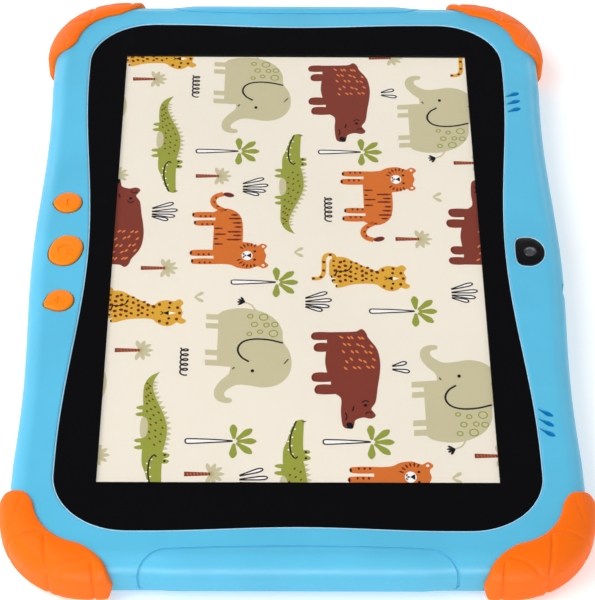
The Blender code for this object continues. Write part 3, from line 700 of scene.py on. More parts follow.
# Mouth of each port: half width, half height, squareness of its outline and steps round it
PORT_MOUTHS = {
    "charging_port": (6.0, 2.8, 5.0, 32),
    "headphone_jack": (3.4, 3.4, 2.0, 32),
    "memory_card_slot": (6.3, 0.9, 8.0, 32),
    "microphone": (0.6, 0.6, 2.0, 16),
}
PORT_INNER_END = 72.5


def port_cutters(bm):
    """Mouths of the ports through the wall of the camera edge, with rounded rims."""
    for node, (half_x, half_z, power, steps) in PORT_MOUTHS.items():
        middle = node_middle(node)
        outline = oval((middle.x, middle.z), half_x, half_z, half_z, power, power, steps=steps)
        face = BODY["half_y"] + wave(middle.x, *BODY["wave_y"])
        stations = [(0.0, PORT_INNER_END)]
        stations += [(outward, face - PORT_RIM + out) for outward, out in quarter(PORT_RIM, 0, 45, 90)]
        stations.append((PORT_RIM + 0.1, face + 3.0))
        loft(bm, [[Vector((p.x, y, p.y)) for p in grown(outline, wide)] for wide, y in stations])


SCREWS = {"cover_screw": 8, "main_board_screw": 4, "button_board_screw": 2}


def at_screws(bm, prefix, radius, steps, low, high):
    """A round bar on the axis of every screw of one kind."""
    for number in range(1, SCREWS[prefix] + 1):
        prism(bm, circle(node_middle(f"{prefix}_{number}"), radius, steps), low, high)


def slot_groups():
    """Middle and lean of each speaker slot."""
    placed = []
    for x, lean in ((-SLOT_X, (-1.95, 4.0)), (SLOT_X, (2.6, 4.0))):
        placed += [(Vector((x + step * SLOT_PITCH, SLOT_Y)), lean) for step in (-1, 0, 1)]
    return placed


def build_front_frame():
    sections = [frame_section(g, b) for g, b in zip(GLASS_RING, BODY_RING)]
    facts = dict(replaces="front_frame", slot="blue_plastic")
    piece = add_loft("front_frame_shell", sections, "blue_plastic", closed=True, **facts)

    bosses = bmesh.new()
    at_screws(bosses, "cover_screw", 3.0, 24, BOSS_FOOT, BOSS_TOP)
    at_screws(bosses, "button_board_screw", 2.0, 20, BOARD_BOSS_FOOT, BOSS_TOP)
    carve(piece, bosses, "UNION")

    holes = bmesh.new()
    at_screws(holes, "cover_screw", 1.4, 16, BOSS_FOOT - 1.2, 9.8)
    at_screws(holes, "button_board_screw", 0.9, 16, BOARD_BOSS_FOOT - 0.5, 12.2)
    for name in KEYS:
        prism(holes, grown(key_outline(name), KEY_FLANGE + 0.3), 10.4, 13.0)
    port_cutters(holes)
    carve(piece, holes)

    rims = bmesh.new()
    for name in KEYS:
        flared(rims, key_outline(name), PLATEAU_TOP + RIM_RISE, 12.5, growth=KEY_GAP)
    flared(rims, camera_outline(), PLATEAU_TOP + RIM_RISE, 11.5, growth=LIP_GAP, radius=WINDOW_RIM)
    for middle, lean in slot_groups():
        outline = slot_outline(middle, lean)
        flared(rims, outline, PLATEAU_TOP + 0.06, PLATEAU_TOP - SLOT_DEPTH, radius=SLOT_RIM)
    carve(piece, rims)
    for side in (-1, 1):
        groove = bmesh.new()
        tube(groove, grip_groove_path(side), GRIP_GROOVE)
        carve(piece, groove)
    shade(piece, 32)
    weigh_normals(piece)


def build_slot_shade_inlays():
    """Dark navy inlays at the bottom of each speaker slot: painted shade that makes the shallow slots look
    deep and dim.
    """
    bm = bmesh.new()
    for middle, lean in slot_groups():
        floor = PLATEAU_TOP - SLOT_DEPTH + 0.02
        prism(bm, grown(slot_outline(middle, lean), -0.02), floor, floor + 0.2)
    add_piece("speaker_slot_shade_inlays", bm, "slot_shade_inlay", slot="black_plastic")


# ---------------- rear cover


def build_rear_cover():
    seam = PARTING - GAP
    stations = [(-REAR_INSET - REAR_RADIUS, REAR_FACE)]
    for i in range(1, 13):
        angle = math.pi / 2 * i / 12
        z = REAR_FACE + REAR_RADIUS * (1 - math.cos(angle))
        offset = -REAR_INSET + REAR_RADIUS * (math.sin(angle) - 1)
        stations.append((offset, min(z, seam - SEAM_RADIUS)))
    for inward, up in quarter(SEAM_RADIUS, 30, 60, 90):
        stations.append((-REAR_INSET - inward, seam - SEAM_RADIUS + up))
    tongue_out, tongue_in, floor = -WALL - GAP, -WALL - GAP - 1.0, REAR_FACE + 1.8
    stations += [(tongue_out, seam), (tongue_out, PARTING + 1.5), (tongue_in, PARTING + 1.5)]
    stations += [(tongue_in, floor + 1.2), (tongue_in - 1.2, floor)]
    rings = [at_height(shifted(BODY_RING, offset), z) for offset, z in stations]
    facts = dict(replaces="rear_cover", slot="blue_plastic")
    piece = add_loft("rear_cover_shell", rings, "blue_plastic", **facts)

    board_underside = node_box("main_board")[0].z
    posts = bmesh.new()
    at_screws(posts, "main_board_screw", 2.4, 20, floor - 0.6, board_underside - 0.1)
    carve(piece, posts, "UNION")

    seat = REAR_FACE + 1.1
    holes = bmesh.new()
    at_screws(holes, "cover_screw", 1.6, 24, seat - 0.5, 4.0)
    at_screws(holes, "main_board_screw", 0.95, 16, 3.4, 8.0)
    carve(piece, holes)

    wells = bmesh.new()
    for number in range(1, SCREWS["cover_screw"] + 1):
        sunk_rim(wells, circle(node_middle(f"cover_screw_{number}"), 3.2), REAR_FACE, seat)
    sunk_rim(wells, circle(node_middle("rear_camera_ring"), 6.1, 64), REAR_FACE, 4.0)
    carve(piece, wells)
    shade(piece, 32)
    weigh_normals(piece)


def sunk_rim(bm, outline, surface, top, radius=0.4):
    """A cutter that comes up through a surface facing down and leaves a rounded rim."""
    rings = [at_height(grown(outline, radius + 0.1), surface - 2.0)]
    for outward, down in quarter(radius, 90, 60, 30, 0):
        rings.append(at_height(grown(outline, outward), surface + radius - down))
    rings.append(at_height(outline, top))
    loft(bm, rings)


# ---------------- corner bumpers

BUMPER_LONG_END, BUMPER_SHORT_END = 87.0, 48.3
BUMPER_FLAT_COVER = 7.0
BUMPER_SIDE = node_box("bumper_upper_right")[1].x - BODY["half_x"] - GAP - 0.02
BUMPER_TOP = node_box("bumper_upper_right")[1].z - PLATEAU_TOP - GAP
BUMPER_BOTTOM = REAR_FACE - GAP
BUMPER_STATIONS, BUMPER_PROFILE, BUMPER_INNER = 200, 84, 20
BUMPER_ROLL = 1.5
BUMPER_RIM = 0.1
BUMPER_CLOSE = 0.12
BUMPER_LEAST = 0.12
BUMPER_HEART = Vector((80.0, 45.0, 8.0))  # inside the case: the bumper's outer faces look away from it
BUMPER_LONG_EASE, BUMPER_REAR_EASE, BUMPER_SHORT_EASE = 8.0, 12.0, 11.5
BUMPER_END_EASE, BUMPER_TIP_EASE = 3.2, 2.6

# Moulded veins, as lines over the bumper's face: depth and the points they pass, in the +X +Y quarter
VEINS = (
    (0.42, ((102.8, 66.2), (106.0, 66.0), (109.5, 65.7), (113.0, 65.1), (117.5, 64.7))),
    (0.34, ((102.6, 66.2), (102.1, 67.6), (102.2, 71.8), (102.7, 75.2), (103.4, 77.8))),
    (0.42, ((111.0, 53.6), (114.0, 53.2), (118.0, 53.0))),
    (0.34, ((110.2, 54.0), (110.6, 56.6), (111.4, 59.2), (113.6, 63.0))),
    (0.28, ((90.6, 73.0), (93.6, 73.7), (97.4, 75.0), (100.6, 76.2))),
)
VEIN_WIDTH = 0.42


def corner_path(distance):
    """(point, normal) on the case's side in the +X +Y quarter, this far from the long-side end."""
    corner, half_x, half_y = BODY["corner"], BODY["half_x"], BODY["half_y"]
    centre_x, centre_y = half_x - corner, half_y - corner
    straight = centre_x - BUMPER_LONG_END
    arc = corner * math.pi / 2
    if distance < straight:
        place, normal = Vector((BUMPER_LONG_END + distance, half_y)), Vector((0, 1))
    elif distance < straight + arc:
        angle = math.pi / 2 - (distance - straight) / corner
        normal = Vector((math.cos(angle), math.sin(angle)))
        place = Vector((centre_x, centre_y)) + normal * corner
    else:
        place, normal = Vector((half_x, centre_y - (distance - straight - arc))), Vector((1, 0))
    place.y += normal.y * wave(place.x, *BODY["wave_y"])
    return place, normal


def bumper_length():
    """Along the case's side, from the bumper's long-side end to its short-side end."""
    corner = BODY["corner"]
    straights = BODY["half_x"] - corner - BUMPER_LONG_END + BODY["half_y"] - corner - BUMPER_SHORT_END
    return straights + corner * math.pi / 2


def travel_to_cover(cover, upper):
    """How far round the section from mid wall a bumper goes to reach this far in over the case."""
    radius = EDGE_RADIUS if upper else REAR_RADIUS
    half_wall = (PLATEAU_TOP - EDGE_RADIUS - PARTING) / 2
    if cover < radius:
        return half_wall + radius * math.acos(1 - cover / radius)
    return half_wall + radius * math.pi / 2 + cover - radius


def bumper_cover(distance, upper):
    """How far in the bumper reaches from the case's side: all at once at one end, slowly at the other."""
    from_short = bumper_length() - distance
    long_share = distance / BUMPER_LONG_EASE if upper else (distance - 1.0) / BUMPER_REAR_EASE
    long_ease = quarter_round(long_share)
    short_ease = math.sin(math.pi / 2 * min(from_short / BUMPER_SHORT_EASE, 1.0))
    return max(BUMPER_FLAT_COVER * long_ease * short_ease, BUMPER_LEAST)


def bumper_section(distance):
    """(outer, inner) points of the section, as (offset, height) pairs, from front rim to rear rim."""
    from_end = min(distance, bumper_length() - distance)
    taper = max(quarter_round(from_end / BUMPER_TIP_EASE), BUMPER_LEAST)
    end_round = quarter_round(from_end / BUMPER_END_EASE)
    side = 2 * BUMPER_RIM + (BUMPER_SIDE - 2 * BUMPER_RIM) * end_round
    outer, inner = [], []
    for i in range(BUMPER_PROFILE + 1):
        part = math.sin(math.pi / 2 * (1 - 2 * i / BUMPER_PROFILE))
        upper = part >= 0
        total = travel_to_cover(bumper_cover(distance, upper), upper) * taper
        offset, height, tilt = case_surface(abs(part) * total, upper)
        out, up = math.cos(tilt), math.sin(tilt)
        flat = min(BUMPER_TOP if upper else BUMPER_BOTTOM, side)
        full = flat + (side - flat) * out**2
        roll = quarter_round((1 - abs(part)) * total / BUMPER_ROLL)
        thickness = BUMPER_RIM + (full - BUMPER_RIM) * roll
        outer.append((offset + (GAP + thickness) * out, height + (GAP + thickness) * up))
    for i in range(BUMPER_INNER + 1):
        part = 1 - 2 * i / BUMPER_INNER
        total = travel_to_cover(bumper_cover(distance, part >= 0), part >= 0) * taper
        offset, height, tilt = case_surface(abs(part) * total, part >= 0)
        inner.append((offset + BUMPER_CLOSE * math.cos(tilt), height + BUMPER_CLOSE * math.sin(tilt)))
    return outer, inner


def vein_depth(point):
    """How deep the moulded veins are at this place, seen from above."""
    place = Vector((point.x, point.y))
    deepest = 0.0
    for depth, line in VEINS:
        stops = [Vector(stop) for stop in line]
        whole = sum((b - a).length for a, b in zip(stops, stops[1:]))
        gone = 0.0
        for a, b in zip(stops, stops[1:]):
            run = b - a
            share = held((place - a).dot(run) / run.length_squared)
            away = (place - a - run * share).length
            along = gone + share * run.length
            fade = min(1.0, (along + 0.3) / 1.6, (whole - along + 0.6) / 2.2)
            deepest = max(deepest, depth * fade * math.exp(-((away / VEIN_WIDTH) ** 2)))
            gone += run.length
    return deepest


def bumper_rings():
    """Rings of the bumper in the +X +Y quarter, with the veins pressed into its outer face."""
    outer_rings, inner_rings = [], []
    for i in range(BUMPER_STATIONS):
        share = math.sin(math.pi / 2 * (2 * i / (BUMPER_STATIONS - 1) - 1))
        distance = (share + 1) / 2 * bumper_length()
        place, normal = corner_path(distance)
        outer, inner = bumper_section(distance)
        for pairs, rings in ((outer, outer_rings), (inner, inner_rings)):
            rings.append([lifted(place + normal * offset, height) for offset, height in pairs])
    pressed = []
    for i, ring in enumerate(outer_rings):
        before, after = outer_rings[max(i - 1, 0)], outer_rings[min(i + 1, len(outer_rings) - 1)]
        moved = []
        for k, point in enumerate(ring):
            normal = (after[k] - before[k]).cross(chord(ring, k)).normalized()
            away = point - BUMPER_HEART
            if normal.dot(Vector((away.x, away.y, away.z * 3))) < 0:
                normal = -normal
            above_floor = eased((point.z - 0.4) / 1.4)
            moved.append(point - normal * vein_depth(point) * above_floor)
        pressed.append(moved)
    return [outer + inner[::-1] for outer, inner in zip(pressed, inner_rings)]


def build_bumpers():
    rings = bumper_rings()
    for side_x, sign_x in (("left", -1), ("right", 1)):
        for side_y, sign_y in (("lower", -1), ("upper", 1)):
            bm = bmesh.new()
            loft(bm, [[Vector((p.x * sign_x, p.y * sign_y, p.z)) for p in ring] for ring in rings])
            node = f"bumper_{side_y}_{side_x}"
            add_piece(node + "_soft", bm, "orange_rubber", 60, replaces=node, slot="orange_rubber")


# ---------------- glass and border


def screen_corners():
    signs = ((-1, -1), (1, -1), (1, 1), (-1, 1))
    return [Vector((SCREEN_MIDDLE + x * SCREEN_X / 2, y * SCREEN_Y / 2)) for x, y in signs]


def build_glass():
    stations = [(-PANE_RADIUS, GLASS_BOTTOM), (0.0, GLASS_BOTTOM + PANE_RADIUS)]
    for inward, up in quarter(PANE_RADIUS, 0, 30, 60, 90):
        stations.append((-inward, GLASS_TOP - PANE_RADIUS + up))
    rings = [at_height(shifted(GLASS_RING, offset), z) for offset, z in stations]
    facts = dict(smooth=25, replaces="cover_glass", slot="cover_glass")
    add_loft("cover_glass_pane", rings, "cover_glass", **facts)

    border = bmesh.new()
    outlines = [shifted(GLASS_RING, -0.06), screen_corners()]
    flat_plate(border, outlines, GLASS_TOP - PRINT_THICKNESS, GLASS_TOP + PRINT_THICKNESS / 2)
    add_piece("printed_border", border, "border_ink", slot="cover_glass")


def build_highlight_beads():
    """Thin pale rings that fill the gaps round the glass and round the camera window: a painted highlight
    that stands in for the bright line of light along those edges.
    """
    middle = LIP_GAP / 2
    rings = (("glass_highlight_bead", shifted(GLASS_RING, middle), GLASS_TOP + 0.25),)
    rings += (("camera_window_highlight_bead", grown(camera_outline(), middle), PLATEAU_TOP),)
    for name, outline, top in rings:
        stations = [(-HIGHLIGHT_BEAD_HALF, top - HIGHLIGHT_BEAD_DEPTH)]
        for degrees in range(180, -1, -30):
            angle = math.radians(degrees)
            stations.append((HIGHLIGHT_BEAD_HALF * math.cos(angle), top + HIGHLIGHT_BEAD_HALF * (math.sin(angle) - 1)))
        stations.append((HIGHLIGHT_BEAD_HALF, top - HIGHLIGHT_BEAD_DEPTH))
        sections = [at_height(grown(outline, offset), z) for offset, z in stations]
        add_loft(name, sections, "pale_highlight_bead", closed=True, smooth=40, slot="blue_plastic")


# ---------------- keys

ICON_REACH, ICON_RING, ICON_OPENING = 1.3, 1.9, math.radians(38)
ICON_RADIUS, ICON_SINK = 0.32, 0.04


def icon_paths(name):
    """The lines pressed into a key's top, flat on it: a minus, a plus, or a ring with a bar."""
    c = node_middle(name + "_plunger")
    minus = [(c.x - ICON_REACH, c.y), (c.x + ICON_REACH, c.y)]
    if name == "volume_down":
        return [minus]
    if name == "volume_up":
        return [minus, [(c.x, c.y - ICON_REACH), (c.x, c.y + ICON_REACH)]]
    arc = []
    for i in range(25):
        angle = math.pi / 2 + ICON_OPENING + 2 * (math.pi - ICON_OPENING) * i / 24
        arc.append((c.x + ICON_RING * math.cos(angle), c.y + ICON_RING * math.sin(angle)))
    return [arc, [(c.x, c.y + 0.4), (c.x, c.y + 2.5)]]


def key_rings(name, low, top):
    """A key from its post up: flange, straight side, rounded shoulder and slightly domed crown."""
    outline = key_outline(name)
    centre = node_middle(name + "_plunger")
    post, flange = circle(centre, 1.8, len(outline)), grown(outline, KEY_FLANGE)
    levels = [(post, low), (post, low + 1.0), (flange, low + 1.0), (flange, low + 1.8)]
    levels += [(outline, low + 1.8), (outline, top - 1.0)]
    rings = [at_height(points, z) for points, z in levels]
    for degrees in range(15, 91, 15):
        angle = math.radians(degrees)
        inward = -KEY_CROWN_INSET * (1 - math.cos(angle))
        rings.append(at_height(grown(outline, inward), top - 1.0 + 0.75 * math.sin(angle)))
    crown = grown(outline, -KEY_CROWN_INSET)
    for step in range(1, 5):
        share = step / 5
        points = [point.lerp(centre.xy, share) for point in crown]
        rings.append(at_height(points, top - 0.25 + 0.2 * (1 - (1 - share) ** 2)))
    return rings


def build_keys():
    for name in KEYS:
        node = name + "_button"
        low, high = node_box(node)
        facts = dict(body=name + "_key", replaces=node, slot="orange_key")
        piece = add_loft(name + "_key_cap", key_rings(name, low.z, high.z), "orange_key", **facts)
        for path in icon_paths(name):
            line = bmesh.new()
            tube(line, [Vector((x, y, high.z - ICON_SINK)) for x, y in path], ICON_RADIUS)
            carve(piece, line)
        shade(piece, 40)
        weigh_normals(piece)


# ---------------- cameras and screws

LENS_BASE = 14.2  # the front camera's lens and bezel stand on its module
# Half of the rear camera's barrel: steps down towards the lens, as (radius, height)
BARREL = (
    (0.0, 2.65), (3.7, 2.65), (3.7, 1.75), (3.1, 1.75), (2.9, 1.95), (2.3, 1.95),
    (2.1, 2.15), (1.5, 2.15), (1.3, 2.0), (0.8, 1.9), (0.0, 1.86),
)


def build_front_camera():
    outline = camera_outline()
    centre = node_middle("front_camera_lens")
    low, high = node_box("front_camera_window")
    hole = circle(centre, 1.78, len(outline))
    levels = [(outline, low.z), (outline, high.z - 0.3), (grown(outline, -0.12), high.z - 0.08)]
    levels += [(grown(outline, -0.35), high.z), (grown(hole, 0.12), high.z)]
    levels += [(hole, high.z - 0.12), (hole, low.z)]
    rings = [at_height(points, z) for points, z in levels]
    facts = dict(smooth=35, replaces="front_camera_window", slot="black_plastic")
    add_loft("front_camera_surround", rings, "window_black", closed=True, **facts)

    top, base = high.z - 0.25, LENS_BASE
    bezel = [(1.38, base), (1.74, base), (1.74, top), (1.68, top + 0.05), (1.48, top - 0.3)]
    add_turned("front_camera_bezel", centre, bezel, 48, "lens_ring", 30, slot="steel")
    dome = [(0.0, base), (1.35, base)]
    dome += [(1.35 * math.cos(a), base + 0.42 + 0.12 * math.sin(a)) for a in (0.0, 0.4, 0.8, 1.2)]
    dome.append((0.0, base + 0.54))
    facts = dict(smooth=40, replaces="front_camera_lens", slot="clear_lens")
    add_turned("front_camera_dome", centre, dome, 48, "lens_grey", **facts)


def build_rear_camera():
    centre = node_middle("rear_camera_ring")
    low, high = node_box("rear_camera_ring")
    profile = [(4.0, high.z), (5.9, high.z), (5.9, low.z + 0.35), (5.78, low.z + 0.1), (5.5, low.z)]
    profile += [(4.6, low.z), (4.45, low.z + 0.12), (4.0, low.z + 0.45)]
    facts = dict(smooth=30, replaces="rear_camera_ring", slot="black_plastic")
    add_turned("rear_camera_surround", centre, profile, 72, "window_black", **facts)
    low, high = node_box("rear_camera_lens")
    pane = [(0.0, low.z), (3.65, low.z), (3.8, low.z + 0.15), (3.8, high.z), (0.0, high.z)]
    facts = dict(smooth=30, replaces="rear_camera_lens", slot="clear_lens")
    add_turned("rear_camera_pane", centre, pane, 64, "clear_lens", **facts)
    add_turned("rear_camera_barrel", centre, BARREL, 64, "lens_grey", 30, slot="black_plastic")


def cross_blade(centre, low, angle):
    """A bmesh of one arm of a cross recess: a blade that narrows as it goes up into the head."""
    along = Vector((math.cos(angle), math.sin(angle)))
    side = Vector((-along.y, along.x))
    rings = []
    for z, reach, half in ((low - 0.5, 1.5, 0.34), (low + 0.65, 0.7, 0.24)):
        corners = (along * reach + side * half, side * half - along * reach)
        corners += (-along * reach - side * half, along * reach - side * half)
        rings.append([Vector((centre.x + c.x, centre.y + c.y, z)) for c in corners])
    blade = bmesh.new()
    loft(blade, rings)
    return blade


def build_screws():
    """The cover screws: a domed head with a cross recess, facing down."""
    for number in range(1, SCREWS["cover_screw"] + 1):
        node = f"cover_screw_{number}"
        centre = node_middle(node)
        low, high = node_box(node)
        seat = low.z + 0.9
        profile = [(0.0, low.z)]
        for i in range(1, 7):
            angle = math.pi / 2 * i / 6
            radius = 2.2 * math.sin(angle) + 0.55 * (i / 6) ** 3
            profile.append((radius, low.z + 0.5 * (1 - math.cos(angle))))
        profile += [(2.75, seat), (0.9, seat), (0.9, high.z - 0.9), (0.35, high.z), (0.0, high.z)]
        facts = dict(replaces=node, slot="steel")
        piece = add_turned(node + "_driven", centre, profile, 40, "screw_steel", **facts)
        for angle in (0.35, 0.35 + math.pi / 2):
            carve(piece, cross_blade(centre, low.z, angle))
        shade(piece, 35)


# ---------------- carried-over CAD nodes

NODE_MATERIALS = {
    "steel": (
        "backlight_unit", "support_plate", "processor_shield", "radio_shield",
        "microphone", "charging_port", "memory_card_slot",
    ),
    "circuit_board": ("main_board", "button_board", "battery_board"),
    "foam": ("glass_adhesive", "battery_tape", "speaker_gasket_left", "speaker_gasket_right"),
    "lead_sleeve": ("battery_lead",),
    "battery_foil": ("battery",),
    "flex_amber": ("button_flex", "display_flex"),
    "copper_foil": ("wifi_antenna",),
    "panel_rim": ("lcd_panel",),
}


def dress_cad_nodes():
    """Gives every CAD node that still shows its material. The rest are black plastic or steel."""
    chosen = {node: finish for finish, nodes in NODE_MATERIALS.items() for node in nodes}
    for name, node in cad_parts.items():
        is_metal = name.endswith("_switch") or "screw" in name
        finish = chosen.get(name, "steel" if is_metal else "black_plastic")
        for slot in node.material_slots:
            slot.material = MATERIALS[finish]


# ---------------- the picture on the screen

# Each ink's layer, counted up from the panel, and its colour
INKS = {
    "cream": (0, srgb(244, 235, 219)),
    "stone": (1, srgb(204, 195, 158)),
    "moss": (2, srgb(154, 160, 64)),
    "chestnut": (2, srgb(130, 58, 45)),
    "amber": (2, srgb(215, 114, 46)),
    "honey": (2, srgb(223, 168, 56)),
    "coal": (4, srgb(30, 30, 34)),
    "umber": (3, srgb(112, 42, 30)),
    "ember": (3, srgb(233, 130, 66)),
    "leaf": (3, srgb(148, 158, 62)),
    "sand": (3, srgb(204, 195, 158)),
    "chalk": (3, srgb(252, 250, 246)),
    "soot": (5, srgb(18, 18, 20)),
}
LAYER_FOOT, LAYER_STEP, LAYER_THICK = 0.005, 0.024, 0.018


def smooth_line(points, closed, steps=5):
    """A curve through points (u, v). A point with a third value is a sharp corner."""
    places = [Vector(p[:2]) for p in points]
    count = len(places)
    headings = []
    for i, point in enumerate(points):
        before = places[i - 1] if closed or i else places[i]
        after = places[(i + 1) % count] if closed or i < count - 1 else places[i]
        headings.append(Vector((0, 0)) if len(point) > 2 else (after - before).normalized())
    line = []
    for i in range(count if closed else count - 1):
        start, end = places[i], places[(i + 1) % count]
        reach = (end - start).length
        leave, arrive = headings[i] * reach, headings[(i + 1) % count] * reach
        straight = not leave.length and not arrive.length
        for k in range(1 if straight else steps):
            t = k / steps
            line.append(
                start * (2 * t**3 - 3 * t**2 + 1)
                + leave * (t**3 - 2 * t**2 + t)
                + end * (3 * t**2 - 2 * t**3)
                + arrive * (t**3 - t**2)
            )
    if not closed:
        line.append(places[-1])
    return line


class Page:
    """Shapes of the picture, gathered by ink: filled loops, and strips for lines."""

    def __init__(self):
        self.loops = {ink: [] for ink in INKS}
        self.strips = {ink: [] for ink in INKS}


class Pen:
    """Draws on a page in (u, v), from this place on the screen. It faces +u, which is +X or -X."""

    def __init__(self, page, x, y, direction=1):
        self.page = page
        self.x, self.y, self.direction = SCREEN_MIDDLE + x, y, direction

    def put(self, point):
        return Vector((self.x + self.direction * point[0], self.y + point[1]))

    def fill(self, ink, points, steps=5):
        self.page.loops[ink].append([self.put(p) for p in smooth_line(points, True, steps)])

    def spot(self, ink, centre, half_u, half_v=None, angle=0.0, steps=14):
        half_v = half_v or half_u
        c, s = math.cos(angle), math.sin(angle)
        loop = []
        for i in range(steps):
            turn = 2 * math.pi * i / steps
            u, v = half_u * math.cos(turn), half_v * math.sin(turn)
            loop.append(self.put((centre[0] + u * c - v * s, centre[1] + u * s + v * c)))
        self.page.loops[ink].append(loop)

    def spots(self, ink, centres, half_u, half_v=None):
        for centre in centres:
            self.spot(ink, centre, half_u, half_v)

    def stroke(self, ink, points, width, steps=5):
        line = smooth_line(points, False, steps)
        left, right = [], []
        for i, point in enumerate(line):
            along = chord(line, i).normalized()
            side = Vector((-along.y, along.x)) * width / 2
            left.append(self.put(point + side))
            right.append(self.put(point - side))
        self.page.strips[ink].append((left, right))

    def petal(self, ink, root, angle, length, width, fullest=0.7):
        """A leaf from its root. It is widest at the share of its length that fullest says."""
        along = Vector((math.cos(angle), math.sin(angle)))
        side = Vector((-along.y, along.x))
        start = Vector(root)
        inner, outer = 0.5 * fullest, 0.5 + 0.5 * fullest
        stops = ((0.0, 0.0), (inner, 0.33), (fullest, 0.5), (outer, 0.4), (1.0, 0.0))
        stops += ((outer, -0.4), (fullest, -0.5), (inner, -0.33))
        self.fill(ink, [tuple(start + along * length * a + side * width * b) for a, b in stops], 3)

    def ring(self, ink, centre, radius):
        line = [tuple(p) for p in circle(centre, radius, 12)]
        self.stroke(ink, line + [(centre[0] + radius, centre[1])], 0.34, 2)


SHARP = 1  # a point's third value, which makes it a sharp corner


def legs(*stops):
    """Outline points of square-cut legs. Each is (left, right, foot, top)."""
    points = []
    for left, right, foot, top in stops:
        points += [(left + 0.15, top, SHARP), (left, foot, SHARP)]
        points += [(right, foot + 0.15, SHARP), (right + 0.2, top, SHARP)]
    return points


def paws(*stops):
    """Outline points of round-ended legs: each is (left, right, foot, left top, right top)."""
    points = []
    for left, right, foot, before, after in stops:
        points += [(left, before, SHARP), (left + 0.1, foot + 1.0), ((left + right) / 2, foot)]
        points += [(right - 0.05, foot + 0.7), (right, after, SHARP)]
    return points


def draw_elephant(pen):
    outline = legs((2.4, 4.4, 0, 3.5), (5.8, 7.8, -0.1, 3.5), (15.9, 17.9, 0, 3.4), (19.6, 21.7, 0, 3.4))
    outline += [(22.3, 7.2, SHARP), (24.6, 6.9), (27.6, 4.4), (30.8, 2.9)]
    outline += [(33.8, 3.3), (35.3, 5.4), (35.1, 7.7)]
    outline += [(33.8, 7.6), (33.3, 6.1), (31.8, 5.7), (30.0, 7.2)]
    outline += [(28.8, 9.4), (29.1, 12.6), (29.8, 16.4)]
    outline += [(28.8, 20.4), (25.8, 23.2), (21.4, 24.3), (16.6, 23.7)]
    outline += [(12.8, 22.0), (8.2, 21.6), (3.8, 19.2)]
    outline += [(0.9, 14.6), (0.1, 9.6), (1.2, 4.8)]
    pen.fill("stone", outline)
    ear = [(13.4, 21.9), (12.2, 17.8), (12.0, 13.4), (13.2, 10.4)]
    ear += [(15.8, 9.2), (18.6, 10.2), (20.4, 12.4)]
    pen.stroke("coal", ear, 0.58)
    pen.stroke("coal", [(22.4, 8.4), (23.2, 7.8)], 0.36)
    pen.stroke("coal", [(19.4, 23.4), (21.2, 22.2)], 0.32)
    pen.spot("soot", (23.8, 13.4), 0.6, 0.5)
    pen.stroke("stone", [(0.8, 14), (-1.2, 12.8), (-2.2, 10.8)], 0.5)
    for angle in (-2.6, -2.1, -1.6, -1.1):
        pen.petal("soot", (-2.2, 11.0), angle, 2.3, 0.7)
    rings = ((3.2, 12.6, 0.75), (3.6, 16.4, 1.2), (6.4, 13.8, 0.85), (6.6, 17.2, 0.75), (6.4, 19.6, 0.9))
    rings += ((9.2, 15.4, 0.7), (9.8, 19.2, 1.2), (10.0, 12.4, 0.65))
    for u, v, radius in rings:
        pen.ring("leaf", (u, v), radius)


def between(stops, u):
    """Height at u on the line through stops, which run towards smaller u."""
    for (far_u, far_v), (near_u, near_v) in zip(stops, stops[1:]):
        if near_u <= u <= far_u:
            return near_v + (far_v - near_v) * (u - near_u) / (far_u - near_u)
    return stops[-1][1]


def draw_crocodile(pen):
    outline = [(0, 5.9, SHARP), (1.8, 3.2), (4.8, 1.8), (9, 1.6)]
    outline += paws((12.2, 13.6, -0.1, 1.8, 1.6), (14.6, 16.0, -0.2, 1.6, 1.8))
    outline += [(20, 2.9)]
    outline += paws((23.8, 25.2, -0.2, 1.9, 1.6), (26.2, 27.6, -0.1, 1.7, 2.1))
    outline += [(32.4, 2.2), (35.6, 3.2), (40, 4.4), (42.6, 5.8), (42.9, 7.8), (41.2, 7.8), (36, 7.6)]
    outline += [(32.5, 7.6, SHARP), (32.3, 9.2), (31.4, 9.4)]
    outline += [(30.9, 7.8, SHARP), (30.2, 9.3), (29.3, 9.5)]
    outline += [(28.6, 7.6, SHARP), (24, 8.4), (19.4, 8.5), (15, 7.3)]
    outline += [(10.4, 5.5), (6.2, 4.2), (3.2, 4.4)]
    pen.fill("moss", outline)
    ridge = [(28.0, 7.5), (24, 8.3), (19.4, 8.4), (15, 7.2), (10.4, 5.4), (6.2, 4.1), (3.2, 4.3)]
    line = smooth_line(ridge, False, 5)
    for before, after in zip(line[::2], line[2::2]):
        along = after - before
        tip = (before + after) / 2 + Vector((along.y, -along.x)).normalized() * 1.5
        pen.fill("stone", [(*before, SHARP), (*tip, SHARP), (*after, SHARP)], 1)
    pen.fill("sand", [(16.3, 1.9), (17.2, 3.0), (20, 3.4), (22.8, 3.0), (23.6, 2.0), (22, 1.3), (18, 1.3)])
    mouth = [(42.6, 5.8), (40, 4.9), (37.2, 4.2), (34.2, 4.0), (31.4, 4.3), (29.6, 5.4), (30.2, 6.1)]
    pen.stroke("coal", mouth, 0.42)
    for i, place in enumerate(smooth_line(mouth[:5], False, 2)[1:]):
        pen.spot("chalk", (place.x - 0.3, place.y + (0.5 if i % 2 else -0.5)), 0.26, steps=8)
    pen.spots("soot", ((29.6, 8.3), (31.7, 8.3)), 0.36)
    pen.spots("soot", ((42.4, 7.6), (42.4, 8.2)), 0.22)
    rows = random.Random(5)
    for i in range(27):
        u = 4.2 + 22.5 * (i / 27) + rows.uniform(-0.3, 0.3)
        low, high = 2.4 + 1.2 * eased((u - 12) / 6), between(ridge, u) - 0.9
        v = low + (high - low) * (0.08 + 0.42 * ((2 * i) % 3)) + rows.uniform(-0.2, 0.2)
        pen.spot("umber", (u, v), 0.44, 0.24, 0.7, 8)


